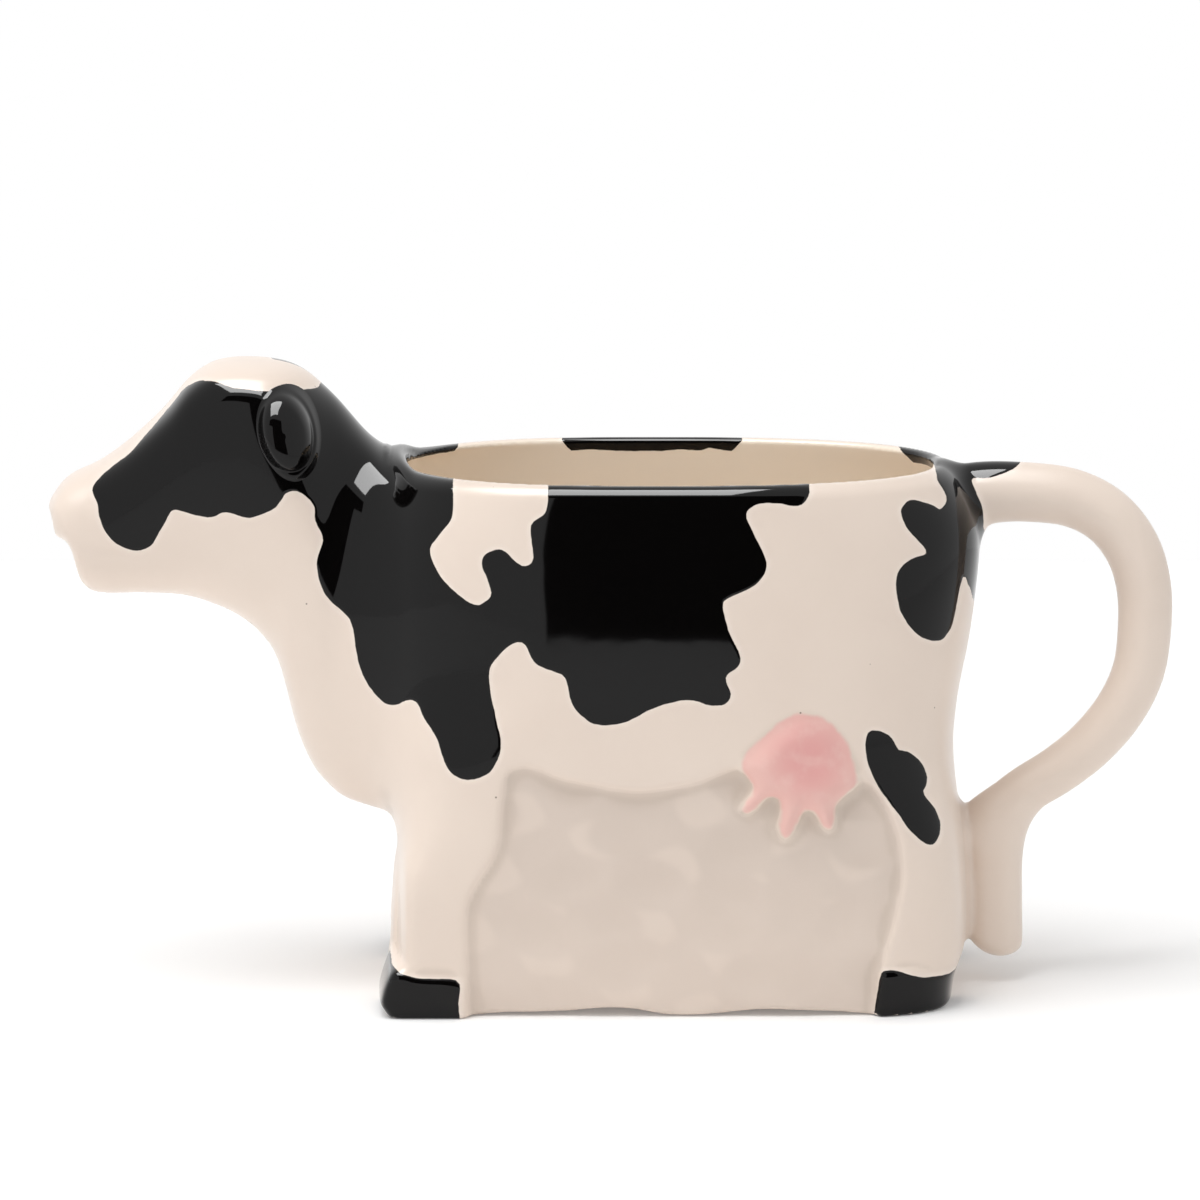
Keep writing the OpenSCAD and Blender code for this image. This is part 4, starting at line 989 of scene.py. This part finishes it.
plane = plane + (ear_at[:, 1] - EAR_H) * (over_y - under_y) / (2 * EAR_PROBE)
socket = ease(0.5 + 0.9 * np.cos(ear_way + EAR_SOCKET_TURN))
rise = mix(curve(EAR_DOME, ear_far), curve(EAR_SOCKET, ear_far), socket)
ear_y = mix(plane, here, ease((ear_far - 0.6) / 0.5)) + rise
bed_y = here[-EAR_TURNS:] - EAR_BED
ring = np.arange(EAR_TURNS)
after = np.roll(ring, -1)
for side, part in ((-1, "left_ear"), (1, "right_ear")):
    top = np.stack([ear_at[:, 0], side * ear_y, ear_at[:, 1]], -1)
    bed = np.stack([ear_at[-EAR_TURNS:, 0], side * bed_y, ear_at[-EAR_TURNS:, 1]], -1)
    middle = np.array([[EAR_X, side * (seat_y - EAR_BED), EAR_H]])
    points = np.concatenate([top, bed, middle])
    faces = [(0, 1 + a, 1 + b) for a, b in zip(ring, after)]
    for k in range(EAR_STEPS - 1):
        start = 1 + k * EAR_TURNS
        ends = start + EAR_TURNS
        faces += [(start + a, ends + a, ends + b, start + b) for a, b in zip(ring, after)]
    start = 1 + (EAR_STEPS - 1) * EAR_TURNS
    faces += [(start + a, len(points) - 1, start + b) for a, b in zip(ring, after)]
    if side > 0:
        faces = [f[::-1] for f in faces]
    mesh = bpy.data.meshes.new(part + "_glazed")
    mesh.from_pydata(points * MM, [], [tuple(int(i) for i in f) for f in faces])
    for name in PAINTS:
        brush_on(mesh, name, np.full(len(points), EAR_PAINT if name == "black" else 0.0))
    glazed_piece(part, mesh)


# A pale table in a plain white studio. Three soft boxes light the jug from above, the left and the
# right, a fourth is seen only in the gloss, and a dark curtain behind the camera, which shows in the
# gloss alone, gives the black its depth.
def stage_panel(name, corners, colour):
    mesh = bpy.data.meshes.new(name)
    mesh.from_pydata(corners, [], [tuple(range(len(corners)))])
    obj = bpy.data.objects.new(name, mesh)
    material = bpy.data.materials.new(name)
    material.use_nodes = True
    shader = material.node_tree.nodes["Principled BSDF"]
    shader.inputs["Base Color"].default_value = linear(colour)
    shader.inputs["Roughness"].default_value = 0.9
    shader.inputs["Specular IOR Level"].default_value = 0.0
    mesh.materials.append(material)
    bpy.context.scene.collection.objects.link(obj)
    return obj


TABLE_FRONT, TABLE_BACK, TABLE_SIDE, TABLE_COLOUR = -0.8, 0.45, 0.9, "#F4F4F4"
CURTAIN_Y, CURTAIN_COLOUR = -1.7, "#141414"
CURTAIN = [(-0.45, -1.5), (1.05, -1.5), (1.05, 2.0), (-1.2, 2.0), (-1.2, 1.45), (-0.45, 1.3)]
table = stage_panel("table", [
    (-TABLE_SIDE, TABLE_FRONT, 0), (TABLE_SIDE, TABLE_FRONT, 0), (TABLE_SIDE, TABLE_BACK, 0),
    (-TABLE_SIDE, TABLE_BACK, 0)], TABLE_COLOUR)
curtain = stage_panel("curtain", [(x, CURTAIN_Y, z) for x, z in CURTAIN], CURTAIN_COLOUR)
curtain.visible_camera = False
curtain.visible_diffuse = False
curtain.visible_shadow = False

# The table has a faint even glow, and for the camera it fades into the white of the studio towards
# its edges.
GLOW_FROM, GLOW_TO, GLOW_EDGE, GLOW_ALL = 0.3, 0.8, 0.4, 0.11
top = table.data.materials[0].node_tree
top_place = node(top, "ShaderNodeTexCoord").outputs["Object"]
top_far = node(top, "ShaderNodeVectorMath", [(0, top_place)], operation="LENGTH").outputs["Value"]
top_fade = node(top, "ShaderNodeMapRange", [(0, top_far)], in_1=GLOW_FROM, in_2=GLOW_TO,
                in_4=GLOW_EDGE).outputs[0]
top_seen = node(top, "ShaderNodeLightPath").outputs["Is Camera Ray"]
top_glow = node(top, "ShaderNodeMath", [(0, top_fade), (1, top_seen)], operation="MULTIPLY_ADD",
                in_2=GLOW_ALL)
top_shader = top.nodes["Principled BSDF"]
top.links.new(top_glow.outputs[0], top_shader.inputs["Emission Strength"])
top_shader.inputs["Emission Color"].default_value = (1, 1, 1, 1)

# The studio's walls are white to the camera and in the gloss, and dimmer as light on the jug.
STUDIO_LIGHT, STUDIO_SEEN = 0.555, 1.0
world = bpy.data.worlds.new("studio")
world.use_nodes = True
walls = world.node_tree
seen = node(walls, "ShaderNodeLightPath").outputs
white_to = seen["Is Camera Ray"]
for ray in ("Is Glossy Ray", "Is Transmission Ray"):
    white_to = node(walls, "ShaderNodeMath", [(0, white_to), (1, seen[ray])],
                    operation="MAXIMUM").outputs[0]
power = node(walls, "ShaderNodeMapRange", [(0, white_to)], in_3=STUDIO_LIGHT, in_4=STUDIO_SEEN)
walls.links.new(power.outputs[0], walls.nodes["Background"].inputs["Strength"])
walls.nodes["Background"].inputs["Color"].default_value = (1, 1, 1, 1)
bpy.context.scene.world = world


def soft_box(name, place, aim, width, depth, watts):
    lamp = bpy.data.lights.new(name, "AREA")
    lamp.shape = "RECTANGLE"
    lamp.size, lamp.size_y = width, depth
    lamp.energy = watts
    obj = bpy.data.objects.new(name, lamp)
    obj.location = place
    obj.rotation_euler = (Vector(aim) - Vector(place)).to_track_quat("-Z", "Y").to_euler()
    bpy.context.scene.collection.objects.link(obj)
    return obj


KEY_WATTS, LEFT_WATTS, RIGHT_WATTS, OVERHEAD_WATTS = 13, 1.8, 0.6, 33
KEY_PLACE, KEY_AIM, FILL_AIM = (-0.35, -0.25, 1.4), (0, 0, 0.05), (0, 0, 0.06)
FILL_SIDE, FILL_Y, FILL_H = 1.2, -0.6, 0.4
OVERHEAD_X, OVERHEAD_Y, OVERHEAD_H = -0.165, -0.25, 1.1
key = soft_box("key_box", KEY_PLACE, KEY_AIM, 0.9, 0.9, KEY_WATTS)
key.visible_glossy = False
for name, side, watts in (("left_box", -1, LEFT_WATTS), ("right_box", 1, RIGHT_WATTS)):
    fill = soft_box(name, (side * FILL_SIDE, FILL_Y, FILL_H), FILL_AIM, 1.0, 0.7, watts)
    fill.visible_glossy = False
gloss = soft_box("overhead_box", (OVERHEAD_X, OVERHEAD_Y, OVERHEAD_H), (OVERHEAD_X, OVERHEAD_Y, 0),
                 0.73, 0.85, OVERHEAD_WATTS)
gloss.visible_diffuse = False
bpy.context.scene.view_settings.view_transform = "Standard"
